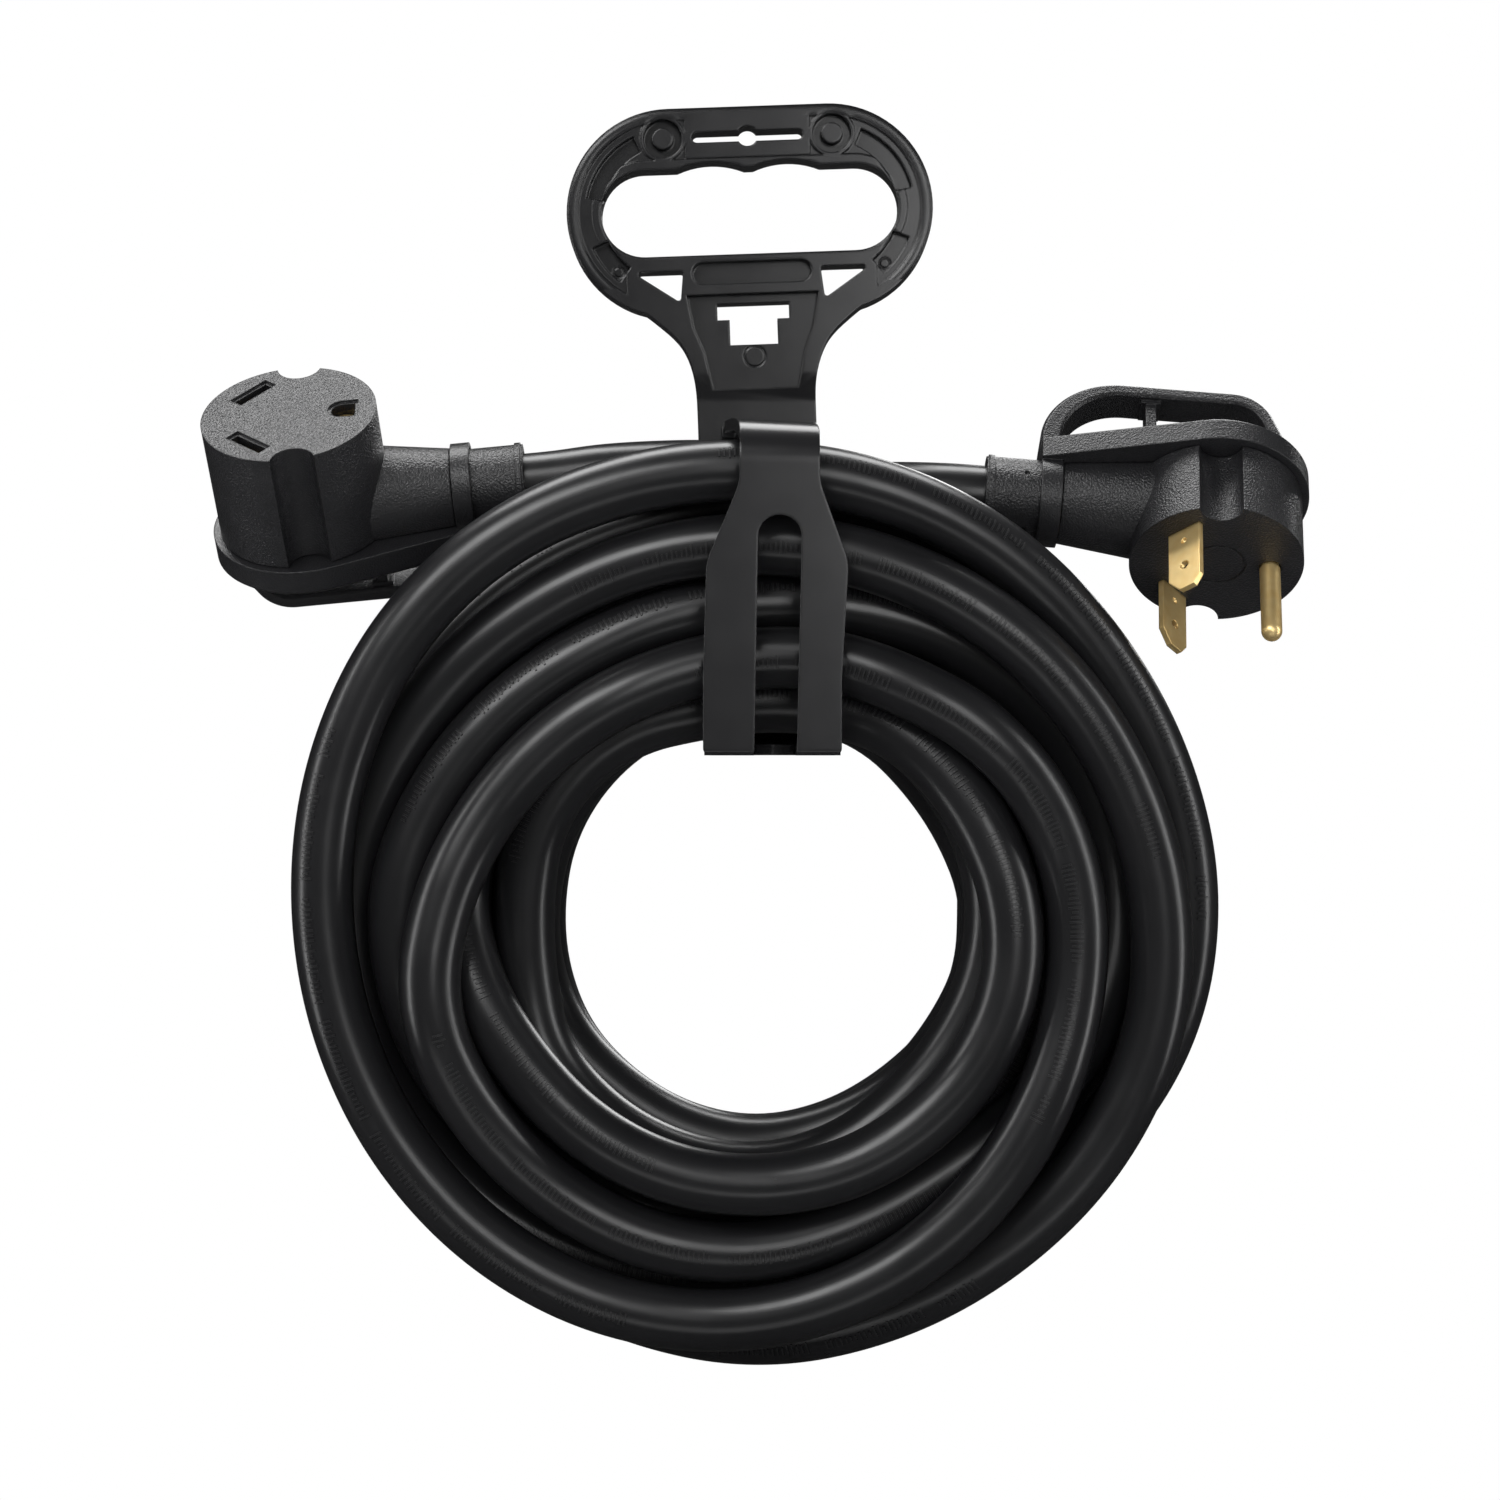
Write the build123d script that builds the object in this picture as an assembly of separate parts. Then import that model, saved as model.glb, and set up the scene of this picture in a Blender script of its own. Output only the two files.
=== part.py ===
from build123d import *
import math
import os

# Shore power cord: eleven turns of 3-conductor 10 AWG cable, a 30 A angled
# plug and an angled connector with grip arches, and a moulded carry handle
# whose strap passes through the coil eye and hooks over the top turn.
# Frame: +X right, +Y away from the front, +Z up; origin at the coil centre.

os.makedirs("parts", exist_ok=True)

GAP = 0.3                 # clearance between fitted pieces
COS45 = math.sqrt(0.5)

# ------------------------------------------------------- cable cross-section
JACKET_R = 8.5
JACKET_BORE_R = 6.2
CORE_RING_R = 3.2         # conductor centres sit on this radius
INSUL_R = 2.55
INSUL_BORE_R = 1.7
COPPER_R = 1.45
JACKET_END = 34.0         # jacket stops here, measured from the plug frame origin

# Cores: name, phase in degrees, then where the copper and the insulation end
# at the plug and at the connector, measured like JACKET_END.
CORES = [
    ("ground", 0.0, -11.6, -3.0, 13.6, 22.0),
    ("hot", 120.0, 7.2, 16.0, -12.0, -3.0),
    ("neutral", 240.0, 7.2, 16.0, -12.0, -3.0),
]

# ---------------------------------------------------- plug and connector
# Local frame of both: origin on the cable axis under the face centre,
# x along the cable, z along the face normal.
FACE_PITCH_Y = -0.60      # Y part of the face normal: it leans to the front

BODY_R = 24.3
NOTCH_R = 6.1             # finger notches on both sides
NOTCH_X, NOTCH_Y = 2.0, 24.6
NOTCH_WALL = 1.7
BORE_R = 20.8             # inside of the overmould
FACE_WALL = 3.0
BACK_Z = -4.7             # open back of the overmould
NECK_X0 = 15.0
NECK_R0, NECK_R1 = 15.6, 11.9
SLEEVE_X0 = 31.0          # start of the round sleeve around the jacket
CABLE_SLEEVE_R = 11.2
CABLE_BORE_R = 8.8
CORE_BORE_R = 6.5         # passage for the cores, from the bore to the jacket

PLATE_TOP, PLATE_BACK = -5.0, -13.0
PLATE_R = 26.4
COLLAR_R = 13.1
COLLAR_BORE_R = 11.5
ARCH_W, ARCH_T = 11.0, 4.0
ARCH_CORNER_X = -13.0     # outer corner of the arch away from the cable
CORE_CHANNEL_R = 2.95     # room for the ground core in the plug's plate

# contact pattern (30 A, 120 V travel-trailer type)
BLADE_X, BLADE_Y = 10.5, 13.0
GROUND_X = 15.0
BLADE_W, BLADE_T, BLADE_OUT = 10.5, 1.7, 20.6
PIN_R, PIN_OUT = 2.9, 25.4
SLOT_W, SLOT_T, SLOT_RIM = 11.5, 2.6, 1.8
FACE_CUT = 6.0            # how deep the openings reach in from the face
SLEEVE_R, SLEEVE_BORE_R = 4.0, 3.05
CRIMP_R, CRIMP_BORE_R = 2.15, 1.75
CRIMP_Y, CRIMP_Z = 2.77, CORE_RING_R / 2    # crimps of line and neutral
TAB_T = 1.2
BLOCK_Z0 = 8.2            # back of the blocks that hold the contacts
BLOCK_HOLE_R, BLOCK_HOLE_X = 1.6, 2.0

# ---------------------------------------------------------------- organiser
STRAP_T = 3.2
BACK_Y = 37.0             # inner face of the back strap
LOOP_Z = 42.6             # upper face of the strap under the bundle
HINGE_Y, HINGE_Z = -30.8, 41.0
HANDLE_Y0, HANDLE_Y1 = 35.2, 45.2
HANDLE_TURN = 2.0         # degrees counter-clockwise, seen from the front
HANDLE_X, TURN_Z = 0.3, 130.0     # the handle leans about this point
NECK_HALF = 17.1
STRAP_CX, STRAP_HALF = 4.1, 18.7
LEG_IN_L, LEG_IN_R = -0.9, 10.6   # inner edges of the strap's two legs
LEG_CORNER_R = 2.0
SLOT_END_Y = 6.0          # where the long slot ends under the turns
BEND_R = 8.0              # inside of the lower back bend

RING_Z, RING_HALF, RING_R = 196.4, 22.85, 29.9     # handle ring: end arcs
HOLE_Z, HOLE_HALF, HOLE_R = 196.3, 30.3, 12.5      # hand opening: end arcs
SCALLOP_X, SCALLOP_Z, SCALLOP_R = 10.95, 186.4, 24.4
HANG_Z = 217.8            # hanging slot and the pads beside it
PAD_X = 24.4
HOOK_X = 6.1              # middle of the front strap's hook
HOOK_HALF = 10.8

# Right edge of the flare between ring and neck: x, z.
FLARE_EDGE = [(36.0, 170.6), (28.0, 165.2), (21.3, 158.4), (17.9, 149.5), (NECK_HALF, 138.0)]
# Right edge of the recessed panel under the ring: x, z.
PANEL_EDGE = [(19.0, 172.4), (17.4, 163.0), (14.6, 156.0), (13.0, 148.0), (12.4, 145.2)]

# ------------------------------------------------------- coil centre line
# One row per 18 degrees of winding: angle from +X, radius, depth (Y).
# Winding starts at the plug, runs counter-clockwise seen from the front.
COIL = [
    (71.88, 119.82, 16.82), (89.98, 111.91, 20.53), (108.11, 110.39, 19.39), (126.18, 111.68, 15.92),
    (144.22, 113.21, 13.83), (162.26, 114.83, 13.87), (180.31, 116.64, 15.49), (198.32, 118.35, 16.80),
    (216.28, 119.80, 16.89), (234.18, 120.92, 15.04), (252.07, 121.83, 10.54), (270.00, 122.03, 2.91),
    (288.03, 119.44, -5.95), (306.14, 117.02, -12.45), (324.25, 115.76, -15.62), (342.32, 113.89, -16.67),
    (360.37, 109.65, -17.27), (378.39, 105.25, -18.20), (396.37, 101.90, -19.23), (414.29, 99.04, -19.72),
    (432.16, 97.48, -18.36), (450.02, 97.12, -16.12), (467.91, 98.12, -13.61), (485.86, 99.96, -10.77),
    (503.87, 103.84, -7.64), (521.91, 108.61, -4.35), (539.96, 112.35, -1.76), (557.99, 114.58, -0.55),
    (576.00, 115.11, -0.23), (593.99, 112.58, -0.61), (611.99, 108.17, -0.75), (630.00, 104.46, 0.61),
    (647.98, 103.92, 2.67), (665.96, 108.48, 3.13), (683.97, 115.43, 2.15), (702.00, 119.48, 0.18),
    (720.05, 119.46, -2.35), (738.10, 117.49, -5.18), (756.15, 116.20, -8.64), (774.16, 116.47, -12.84),
    (792.12, 116.72, -16.23), (810.02, 117.14, -17.26), (827.91, 118.71, -17.33), (845.82, 120.78, -17.31),
    (863.73, 121.21, -17.59), (881.67, 120.03, -18.15), (899.64, 118.71, -18.34), (917.66, 118.38, -17.93),
    (935.71, 118.59, -17.64), (953.78, 118.65, -17.43), (971.88, 117.48, -17.64), (989.98, 114.06, -18.83),
    (1008.12, 108.29, -20.80), (1026.29, 101.49, -22.56), (1044.43, 95.23, -22.31), (1062.49, 90.24, -20.08),
    (1080.53, 86.64, -19.71), (1098.60, 82.32, -22.02), (1116.62, 76.56, -24.36), (1134.48, 71.00, -23.30),
    (1152.24, 68.12, -19.56), (1170.03, 65.88, -18.55), (1187.81, 65.39, -19.71), (1205.59, 67.04, -21.53),
    (1223.45, 70.90, -21.50), (1241.38, 76.76, -21.81), (1259.33, 84.61, -24.34), (1277.36, 92.53, -26.30),
    (1295.53, 95.37, -22.78), (1313.71, 96.59, -19.08), (1331.85, 97.44, -17.13), (1349.98, 96.31, -15.21),
    (1368.08, 93.13, -11.57), (1386.11, 92.01, -7.51), (1404.09, 95.84, -4.52), (1422.05, 98.96, -2.26),
    (1440.02, 99.51, -0.92), (1458.03, 98.03, -1.09), (1476.06, 94.56, -2.74), (1494.08, 89.03, -5.11),
    (1512.07, 83.56, -7.45), (1530.01, 80.86, -9.04), (1547.92, 80.63, -10.62), (1565.81, 82.20, -12.03),
    (1583.74, 86.56, -12.41), (1601.70, 92.38, -12.54), (1619.70, 98.11, -12.54), (1637.78, 99.10, -9.73),
    (1655.90, 98.05, -5.01), (1674.00, 94.90, 0.20), (1692.04, 91.19, 4.68), (1710.01, 88.22, 7.62),
    (1727.94, 87.10, 8.91), (1745.85, 86.45, 9.76), (1763.80, 84.92, 9.47), (1781.82, 83.72, 6.85),
    (1799.86, 82.60, 4.77), (1817.87, 81.21, 4.81), (1835.83, 79.72, 6.96), (1853.82, 79.00, 9.51),
    (1871.90, 79.69, 9.86), (1889.99, 79.76, 8.68), (1908.06, 78.38, 6.99), (1926.08, 77.14, 4.98),
    (1944.07, 77.95, 3.11), (1962.02, 80.49, 0.69), (1979.86, 82.13, -4.82), (1997.62, 80.33, -13.42),
    (2015.53, 78.04, -18.87), (2033.60, 77.76, -21.03), (2051.76, 77.69, -22.33), (2069.97, 77.33, -22.72),
    (2088.18, 76.90, -22.28), (2106.37, 75.67, -21.73), (2124.52, 74.41, -21.35), (2142.65, 72.22, -21.29),
    (2160.69, 68.67, -20.38), (2178.62, 64.76, -17.89), (2196.43, 61.98, -13.68), (2214.23, 59.43, -9.28),
    (2232.09, 55.89, -6.37), (2250.01, 53.99, -5.43), (2267.93, 54.43, -5.74), (2285.86, 58.17, -6.13),
    (2303.82, 61.76, -6.23), (2321.80, 63.86, -5.79), (2339.86, 64.42, -3.90), (2357.95, 67.18, -1.54),
    (2375.95, 72.47, -1.99), (2393.93, 74.80, -3.53), (2411.95, 75.86, -4.68), (2429.99, 75.82, -5.05),
    (2448.04, 73.68, -4.83), (2466.09, 70.28, -4.83), (2484.13, 68.13, -4.76), (2502.14, 67.01, -4.34),
    (2520.10, 65.77, -2.90), (2538.00, 64.04, -0.01), (2555.86, 62.17, 4.42), (2573.80, 61.28, 8.55),
    (2591.86, 61.94, 10.29), (2609.98, 62.10, 10.34), (2628.11, 60.98, 10.72), (2646.25, 59.43, 11.56),
    (2664.35, 60.09, 11.42), (2682.42, 61.77, 11.87), (2700.52, 63.69, 14.07), (2718.55, 66.14, 16.15),
    (2736.44, 67.57, 15.07), (2754.28, 68.02, 12.87), (2772.14, 69.35, 11.83), (2790.02, 70.36, 11.83),
    (2807.89, 69.73, 12.46), (2825.76, 69.01, 12.87), (2843.65, 67.55, 12.98), (2861.56, 66.94, 13.39),
    (2879.47, 64.95, 14.81), (2897.34, 61.19, 17.74), (2915.26, 58.85, 22.25), (2933.34, 58.24, 26.15),
    (2951.60, 57.06, 27.34), (2969.95, 56.58, 27.19), (2988.30, 57.57, 28.11), (3006.64, 59.00, 29.29),
    (3024.89, 60.23, 29.16), (3043.06, 61.61, 29.69), (3061.19, 63.08, 32.05), (3079.17, 65.60, 33.86),
    (3096.94, 68.14, 32.80), (3114.64, 69.55, 30.55), (3132.34, 70.98, 29.50), (3150.05, 71.70, 29.52),
    (3167.74, 70.89, 30.16), (3185.44, 69.87, 30.59), (3203.20, 69.57, 30.60), (3221.00, 68.09, 31.08),
    (3238.85, 66.00, 32.50), (3256.87, 68.01, 34.09), (3275.15, 73.61, 32.08), (3293.44, 75.79, 28.80),
    (3311.70, 74.81, 26.93), (3329.96, 74.25, 25.58), (3348.20, 74.98, 24.43), (3366.38, 76.66, 22.75),
    (3384.49, 78.54, 20.86), (3402.51, 80.24, 18.70), (3420.48, 82.08, 16.73), (3438.43, 83.96, 15.83),
    (3456.38, 85.25, 16.56), (3474.32, 86.22, 19.05), (3492.21, 88.36, 22.58), (3510.03, 90.81, 25.08),
    (3527.83, 92.72, 25.70), (3545.65, 94.08, 25.76), (3563.52, 94.16, 24.70), (3581.48, 92.86, 22.19),
    (3599.49, 91.84, 19.99), (3617.53, 91.92, 18.96), (3635.60, 92.80, 18.89), (3653.70, 93.76, 19.27),
    (3671.83, 94.34, 19.83), (3689.98, 93.59, 19.83), (3708.13, 92.76, 18.98), (3726.25, 94.14, 18.37),
    (3744.35, 96.13, 18.44), (3762.43, 97.97, 19.04), (3780.47, 99.55, 19.81), (3798.46, 101.09, 20.43),
    (3816.39, 102.54, 20.52), (3834.28, 103.93, 19.92), (3852.15, 106.02, 19.16), (3870.02, 108.33, 18.98),
    (3887.89, 110.15, 19.65), (3905.76, 111.25, 20.53), (3923.67, 111.38, 20.28), (3941.62, 110.94, 19.24),
    (3959.62, 110.64, 17.83), (3977.68, 110.66, 15.54), (3995.80, 110.85, 11.53), (4013.92, 111.09, 5.75),
    (4031.99, 112.42, 0.98), (4050.00, 117.56, 3.70), (4068.04, 124.62, 7.94),
]


# ------------------------------------------------------------ shape helpers
def unit(v):
    return v * (1.0 / v.length)


def cyl_x(radius, x0, x1, y=0.0, z=0.0):
    return Pos((x0 + x1) / 2, y, z) * Rot(0, 90, 0) * Cylinder(radius, x1 - x0)


def cyl_z(radius, z0, z1, x=0.0, y=0.0):
    return Pos(x, y, (z0 + z1) / 2) * Cylinder(radius, z1 - z0)


def box(x0, x1, y0, y1, z0, z1):
    """Box between limits; each pair may come in either order."""
    size = (abs(x1 - x0), abs(y1 - y0), abs(z1 - z0))
    return Pos((x0 + x1) / 2, (y0 + y1) / 2, (z0 + z1) / 2) * Box(*size)


def polygon(*points):
    return make_face(Polyline(*points, close=True))


def lines(*points):
    return [Line(a, b) for a, b in zip(points, points[1:])]


def mirrored(points):
    """Points mirrored left to right, in reverse order."""
    return [(-x, z) for x, z in reversed(points)]


def slab(sketch, y0, y1):
    """Front-view sketch (x, z) extruded from y0 to y1."""
    return Pos(0, y1, 0) * extrude(Plane.XZ * sketch, amount=y1 - y0)


def save(shape, name):
    export_step(shape, "parts/" + name + ".step")


# ------------------------------------------------------------ cord ends
class CordEnd:
    """Placement and sizes of the plug (side -1) or the connector (side +1).

    The cable leaves toward X * side, tilted up by `tilt` degrees, and stays
    straight up to `straight`. The face looks toward Z * side.
    """

    def __init__(self, side, origin, tilt, straight, face_z, collar, sleeve_end, arch_z):
        self.side = side
        self.origin = origin
        self.straight = straight
        self.face_z = face_z
        self.collar = collar              # start and end of the grip's collar
        self.sleeve_end = sleeve_end
        self.arch_z = arch_z              # far side of the grip arch
        self.ground_x = side * GROUND_X
        angle = math.radians(tilt)
        self.cable = Vector(side * math.cos(angle), 0, math.sin(angle))
        upright = Vector(0, 0, side)
        upright = unit(upright - self.cable * upright.dot(self.cable))
        lean = Vector(0, FACE_PITCH_Y, 0)
        self.normal = unit(lean + upright * math.sqrt(1 - FACE_PITCH_Y ** 2))
        self.location = Location(Plane(origin=origin, x_dir=self.cable, z_dir=self.normal))

    def along(self, distance):
        return self.origin + self.cable * distance


PLUG = CordEnd(side=-1, origin=Vector(129.4, 15.0, 107.5), tilt=4.5, straight=69.0,
               face_z=18.5, collar=(44.5, 50.4), sleeve_end=65.6, arch_z=-42.0)
CONNECTOR = CordEnd(side=1, origin=Vector(-126.8, 8.0, 109.6), tilt=5.4, straight=66.0,
                    face_z=30.0, collar=(42.4, 47.6), sleeve_end=62.4, arch_z=-31.0)


# ------------------------------------------------------------ cable path
def coil_point(degrees, radius, depth):
    angle = math.radians(degrees)
    return Vector(radius * math.cos(angle), depth, radius * math.sin(angle))


def path_tangents(nodes):
    """Fixed at the straight ends, finite differences along the coil."""
    coil = []
    for i in range(2, len(nodes) - 2):
        if 4 <= i <= len(nodes) - 5:
            v = nodes[i + 1] * 8 - nodes[i + 2] - nodes[i - 1] * 8 + nodes[i - 2]
        else:
            before, after = nodes[i] - nodes[i - 1], nodes[i + 1] - nodes[i]
            ratio = after.length / before.length
            v = before * ratio + after * (1 / ratio)
        coil.append(unit(v))
    return [PLUG.cable] * 2 + coil + [CONNECTOR.cable * -1] * 2


def transported(nodes, tans, first_normal):
    """Rotation-minimising normals along the nodes (double reflection)."""
    normals = [first_normal]
    for i in range(len(nodes) - 1):
        step = nodes[i + 1] - nodes[i]
        scale = 2 / step.dot(step)
        normal = normals[-1] - step * (scale * step.dot(normals[-1]))
        tangent = tans[i] - step * (scale * step.dot(tans[i]))
        change = tans[i + 1] - tangent
        size = change.dot(change)
        if size > 1e-12:
            normal = unit(normal - change * (2 / size * change.dot(normal)))
        normals.append(normal)
    return normals


NODES = [PLUG.along(JACKET_END), PLUG.along(PLUG.straight)]
NODES += [coil_point(*row) for row in COIL]
NODES += [CONNECTOR.along(CONNECTOR.straight), CONNECTOR.along(JACKET_END)]
TANGENTS = path_tangents(NODES)

# Ground core lies away from the face in the plug and toward the face in the
# connector, so line and neutral keep their sides at both ends.
START_NORMAL = PLUG.normal * -1
NORMALS = transported(NODES, TANGENTS, START_NORMAL)
END_TURN = math.atan2(CONNECTOR.normal.dot(TANGENTS[-1].cross(NORMALS[-1])),
                      CONNECTOR.normal.dot(NORMALS[-1]))
RUN = [0.0]               # distance along the nodes
for start, end in zip(NODES, NODES[1:]):
    RUN.append(RUN[-1] + (end - start).length)


def core_path(phase, plug_end, connector_end):
    """Nodes and tangents of one core, twisted evenly between the straights."""
    run0, run1 = RUN[1], RUN[-2]
    rate = END_TURN / (run1 - run0)
    points, tans = [], []
    for node, tangent, normal, run in zip(NODES, TANGENTS, NORMALS, RUN):
        angle = phase + rate * (min(max(run, run0), run1) - run0)
        binormal = tangent.cross(normal)
        offset = normal * math.cos(angle) + binormal * math.sin(angle)
        swing = binormal * math.cos(angle) - normal * math.sin(angle)
        points.append(node + offset * CORE_RING_R)
        slope = rate * CORE_RING_R if run0 + 1 < run < run1 - 1 else 0.0
        tans.append(unit(tangent + swing * slope))
    points[0] = points[0] + PLUG.cable * (plug_end - JACKET_END)
    points[-1] = points[-1] + CONNECTOR.cable * (connector_end - JACKET_END)
    return points, tans


def arc_chain(points, tans):
    """Pairs of tangent arcs through the nodes: list of (start, end, tangent)."""
    chain = []
    for p0, t0, p1, t1 in zip(points, tans, points[1:], tans[1:]):
        v = p1 - p0
        a = 2 * (1 - t0.dot(t1))
        if a < 1e-12:
            chain.append((p0, p1, t0))
            continue
        b = v.dot(t0 + t1)
        reach = (-b + math.sqrt(b * b + a * v.dot(v))) / a
        q0, q1 = p0 + t0 * reach, p1 - t1 * reach
        middle = (q0 + q1) * 0.5
        chain.append((p0, middle, t0))
        chain.append((middle, p1, unit(q1 - q0)))
    return chain


def pipe(points, tans, outer_r, bore_r=0):
    """Round tube or rod along an arc chain, sewn from its own faces."""
    radii = [outer_r] + ([bore_r] if bore_r else [])

    def rings(centre, tangent, x_dir):
        plane = Plane(origin=centre, x_dir=x_dir, z_dir=tangent)
        return [Edge.make_circle(r, plane) for r in radii]

    faces, normal = [], START_NORMAL
    chain = arc_chain(points, tans)
    first = rings(chain[0][0], chain[0][2], normal)
    for p0, p1, tangent in chain:
        v = p1 - p0
        lateral = v - tangent * v.dot(tangent)
        normal = unit(normal - tangent * normal.dot(tangent))
        ring = rings(p0, tangent, normal)
        if lateral.length < 1e-6 * v.length:
            faces += [Face.extrude(e, v) for e in ring]
            end_tangent = tangent
            continue
        inward = unit(lateral)
        bend_r = v.dot(v) / (2 * v.dot(inward))
        turn_dir = tangent.cross(inward)
        angle = 2 * math.asin(min(1.0, v.length / (2 * bend_r)))
        axis = Axis(p0 + inward * bend_r, turn_dir)
        faces += [Face.revolve(e, math.degrees(angle), axis) for e in ring]
        cos_a, sin_a = math.cos(angle), math.sin(angle)
        normal = (normal * cos_a + turn_dir.cross(normal) * sin_a
                  + turn_dir * (turn_dir.dot(normal) * (1 - cos_a)))
        end_tangent = tangent * cos_a + turn_dir.cross(tangent) * sin_a
    last = rings(chain[-1][1], end_tangent, normal)
    for ring in (first, last):
        wires = [Wire([e]) for e in ring]
        faces.append(Face(wires[0], wires[1:]))
    solid = Solid(Shell(faces))
    if solid.volume < 0:
        solid = Solid(Shell([-f for f in faces]))
    return solid


# ------------------------------------------------------------- overmoulds
def cut_notches(solid, notch_r, z0, z1):
    for sy in (1, -1):
        solid -= cyl_z(notch_r, z0 - 1, z1 + 1, NOTCH_X, sy * NOTCH_Y)
    return solid


def notched(radius, notch_r, z0, z1):
    return cut_notches(cyl_z(radius, z0, z1), notch_r, z0, z1)


def blade_place(end, sy):
    """Blades and slots lie at 45 degrees, closing up away from the ground."""
    return Pos(-end.side * BLADE_X, sy * BLADE_Y, 0) * Rot(0, 0, end.side * 45 * sy)


def overmould(end):
    """Hollow body, neck and cable sleeve, before the face is cut."""
    s = cyl_z(BODY_R, BACK_Z, end.face_z)
    length = end.collar[0] - GAP - NECK_X0
    neck = Pos(NECK_X0 + length / 2, 0, 0) * Rot(0, 90, 0) * Cone(NECK_R0, NECK_R1, length)
    neck &= box(0, 60, -30, 30, BACK_Z, 40)
    s += neck
    s += cyl_x(CABLE_SLEEVE_R, SLEEVE_X0, end.sleeve_end)
    # raised ring near the cable end of the sleeve
    s += cyl_x(CABLE_SLEEVE_R + 0.5, end.sleeve_end - 2.2, end.sleeve_end - 0.6)
    s = cut_notches(s, NOTCH_R, BACK_Z, end.face_z)
    s -= notched(BORE_R, NOTCH_R + NOTCH_WALL, BACK_Z - 1, end.face_z - FACE_WALL)
    s -= cyl_x(CORE_BORE_R, 17.0, 33.3)
    s -= cyl_x(CABLE_BORE_R, 33.2, end.sleeve_end + 1)
    return s


def connector_body():
    s = overmould(CONNECTOR)
    face_z, ground_x = CONNECTOR.face_z, CONNECTOR.ground_x
    for sy in (1, -1):
        place = blade_place(CONNECTOR, sy) * Pos(0, 0, face_z)
        s -= place * Box(SLOT_W, SLOT_T, 2 * FACE_CUT)
        s -= place * Box(SLOT_W + SLOT_RIM, SLOT_T + SLOT_RIM, 1.4)
    # D-shaped ground hole and the shallow recess around it
    for r, depth in ((3.3, FACE_CUT), (4.2, 0.7)):
        s -= cyl_z(r, face_z - depth, face_z + 1, ground_x)
        s -= box(ground_x, ground_x + r, -r, r, face_z - depth, face_z + 1)
    return s


def blade_clearance(sy, z, height):
    size = (BLADE_W + 2 * GAP, BLADE_T + 2 * GAP, height)
    return blade_place(PLUG, sy) * Pos(0, 0, z) * Box(*size)


def plug_body():
    s = overmould(PLUG)
    face_z = PLUG.face_z
    for sy in (1, -1):
        s -= blade_clearance(sy, face_z, 2 * FACE_CUT)
    s -= cyl_z(PIN_R + GAP, face_z - FACE_CUT, face_z + 1, PLUG.ground_x)
    # shallow ring groove in the middle of the face
    s -= cyl_z(8.2, face_z - 0.5, face_z + 1) - cyl_z(7.4, face_z - 2, face_z + 2)
    # four dimples around the cable sleeve
    for degrees in (0, 90, 180, 270):
        a = math.radians(degrees)
        y, z = CABLE_SLEEVE_R * math.sin(a), CABLE_SLEEVE_R * math.cos(a)
        s -= Pos(PLUG.collar[1] + 4.0, y, z) * Sphere(0.8)
    return s


# ------------------------------------------------------------------- grips
def teardrop(x_end):
    """Outline of the back plate: body circle drawn out to the collar."""
    a = math.acos((PLATE_R - COLLAR_R) / x_end)
    x, y = PLATE_R * math.cos(a), PLATE_R * math.sin(a)
    return Circle(PLATE_R) + polygon((x, y), (x_end, COLLAR_R), (x_end, -COLLAR_R), (x, -y))


def round_corners(face, level, right_r, left_r):
    """Fillet the corners at height `level`, right of the origin first."""
    for sx, radius in ((1, right_r), (-1, left_r)):
        corners = [v for v in face.vertices() if abs(v.Y - level) < 0.01 and v.X * sx > 0]
        face = fillet(corners, radius)
    return face


def grip_arch(end):
    """Band in the plane of cable and face normal."""
    top, bottom = end.arch_z + ARCH_T, end.arch_z
    far = -PLATE_R + 0.4
    bend = min(24.0, (PLATE_BACK - bottom) * 0.80 + 8.0)
    outer = polygon((end.collar[1], -6), (end.collar[1], bottom), (ARCH_CORNER_X, bottom),
                    (far, -9.0), (far, -6))
    outer = round_corners(outer, bottom, bend, bend * 0.5)
    near = end.collar[0] - 0.3
    inner = polygon((near, -8), (near, top), (ARCH_CORNER_X + 1.8, top),
                    (far + 5.2, -11.0), (far + 5.2, -8))
    inner = round_corners(inner, top, bend - ARCH_T - 1.5, bend * 0.5 - 3.0)
    band = extrude(Plane.XZ * (outer - inner), amount=ARCH_W / 2, both=True)
    rims = band.edges().filter_by(lambda e: abs(abs(e.center().Y) - ARCH_W / 2) < 0.01)
    band = chamfer(rims, 0.8)
    return band & box(-60, 80, -20, 20, bottom - 1, PLATE_BACK + 3)


def grip(end):
    """Back plate with its collar, the arch and a post between plate and arch."""
    collar0, collar1 = end.collar
    plate = Pos(0, 0, PLATE_BACK) * extrude(teardrop(collar1), amount=PLATE_TOP - PLATE_BACK)
    plate = chamfer(plate.edges().group_by(Axis.Z)[0], 1.2)
    s = plate + cyl_x(COLLAR_R, collar0, collar1)
    s += grip_arch(end)
    s += box(17.0, 20.0, -3.4, 3.4, end.arch_z + 2.0, PLATE_BACK + 2)
    s += box(15.6, 21.4, -3.8, 3.8, end.arch_z + 2.0, end.arch_z + ARCH_T + 1.2)
    return s - cyl_x(COLLAR_BORE_R, SLEEVE_X0 - GAP, collar1 + 2)


def plug_grip():
    return grip(PLUG) - cyl_x(CORE_CHANNEL_R, -13.5, 34.0, 0, -CORE_RING_R)


# ---------------------------------------------------------------- contacts
def terminal(x0, x1, y, z, extra):
    """Crimp barrel joined to the extra pieces and bored from its x1 end."""
    t = cyl_x(CRIMP_R, x0, x1, y, z)
    for piece in extra:
        t += piece
    return t - cyl_x(CRIMP_BORE_R, x0 + 0.4, x1 + 1, y, z)


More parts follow.
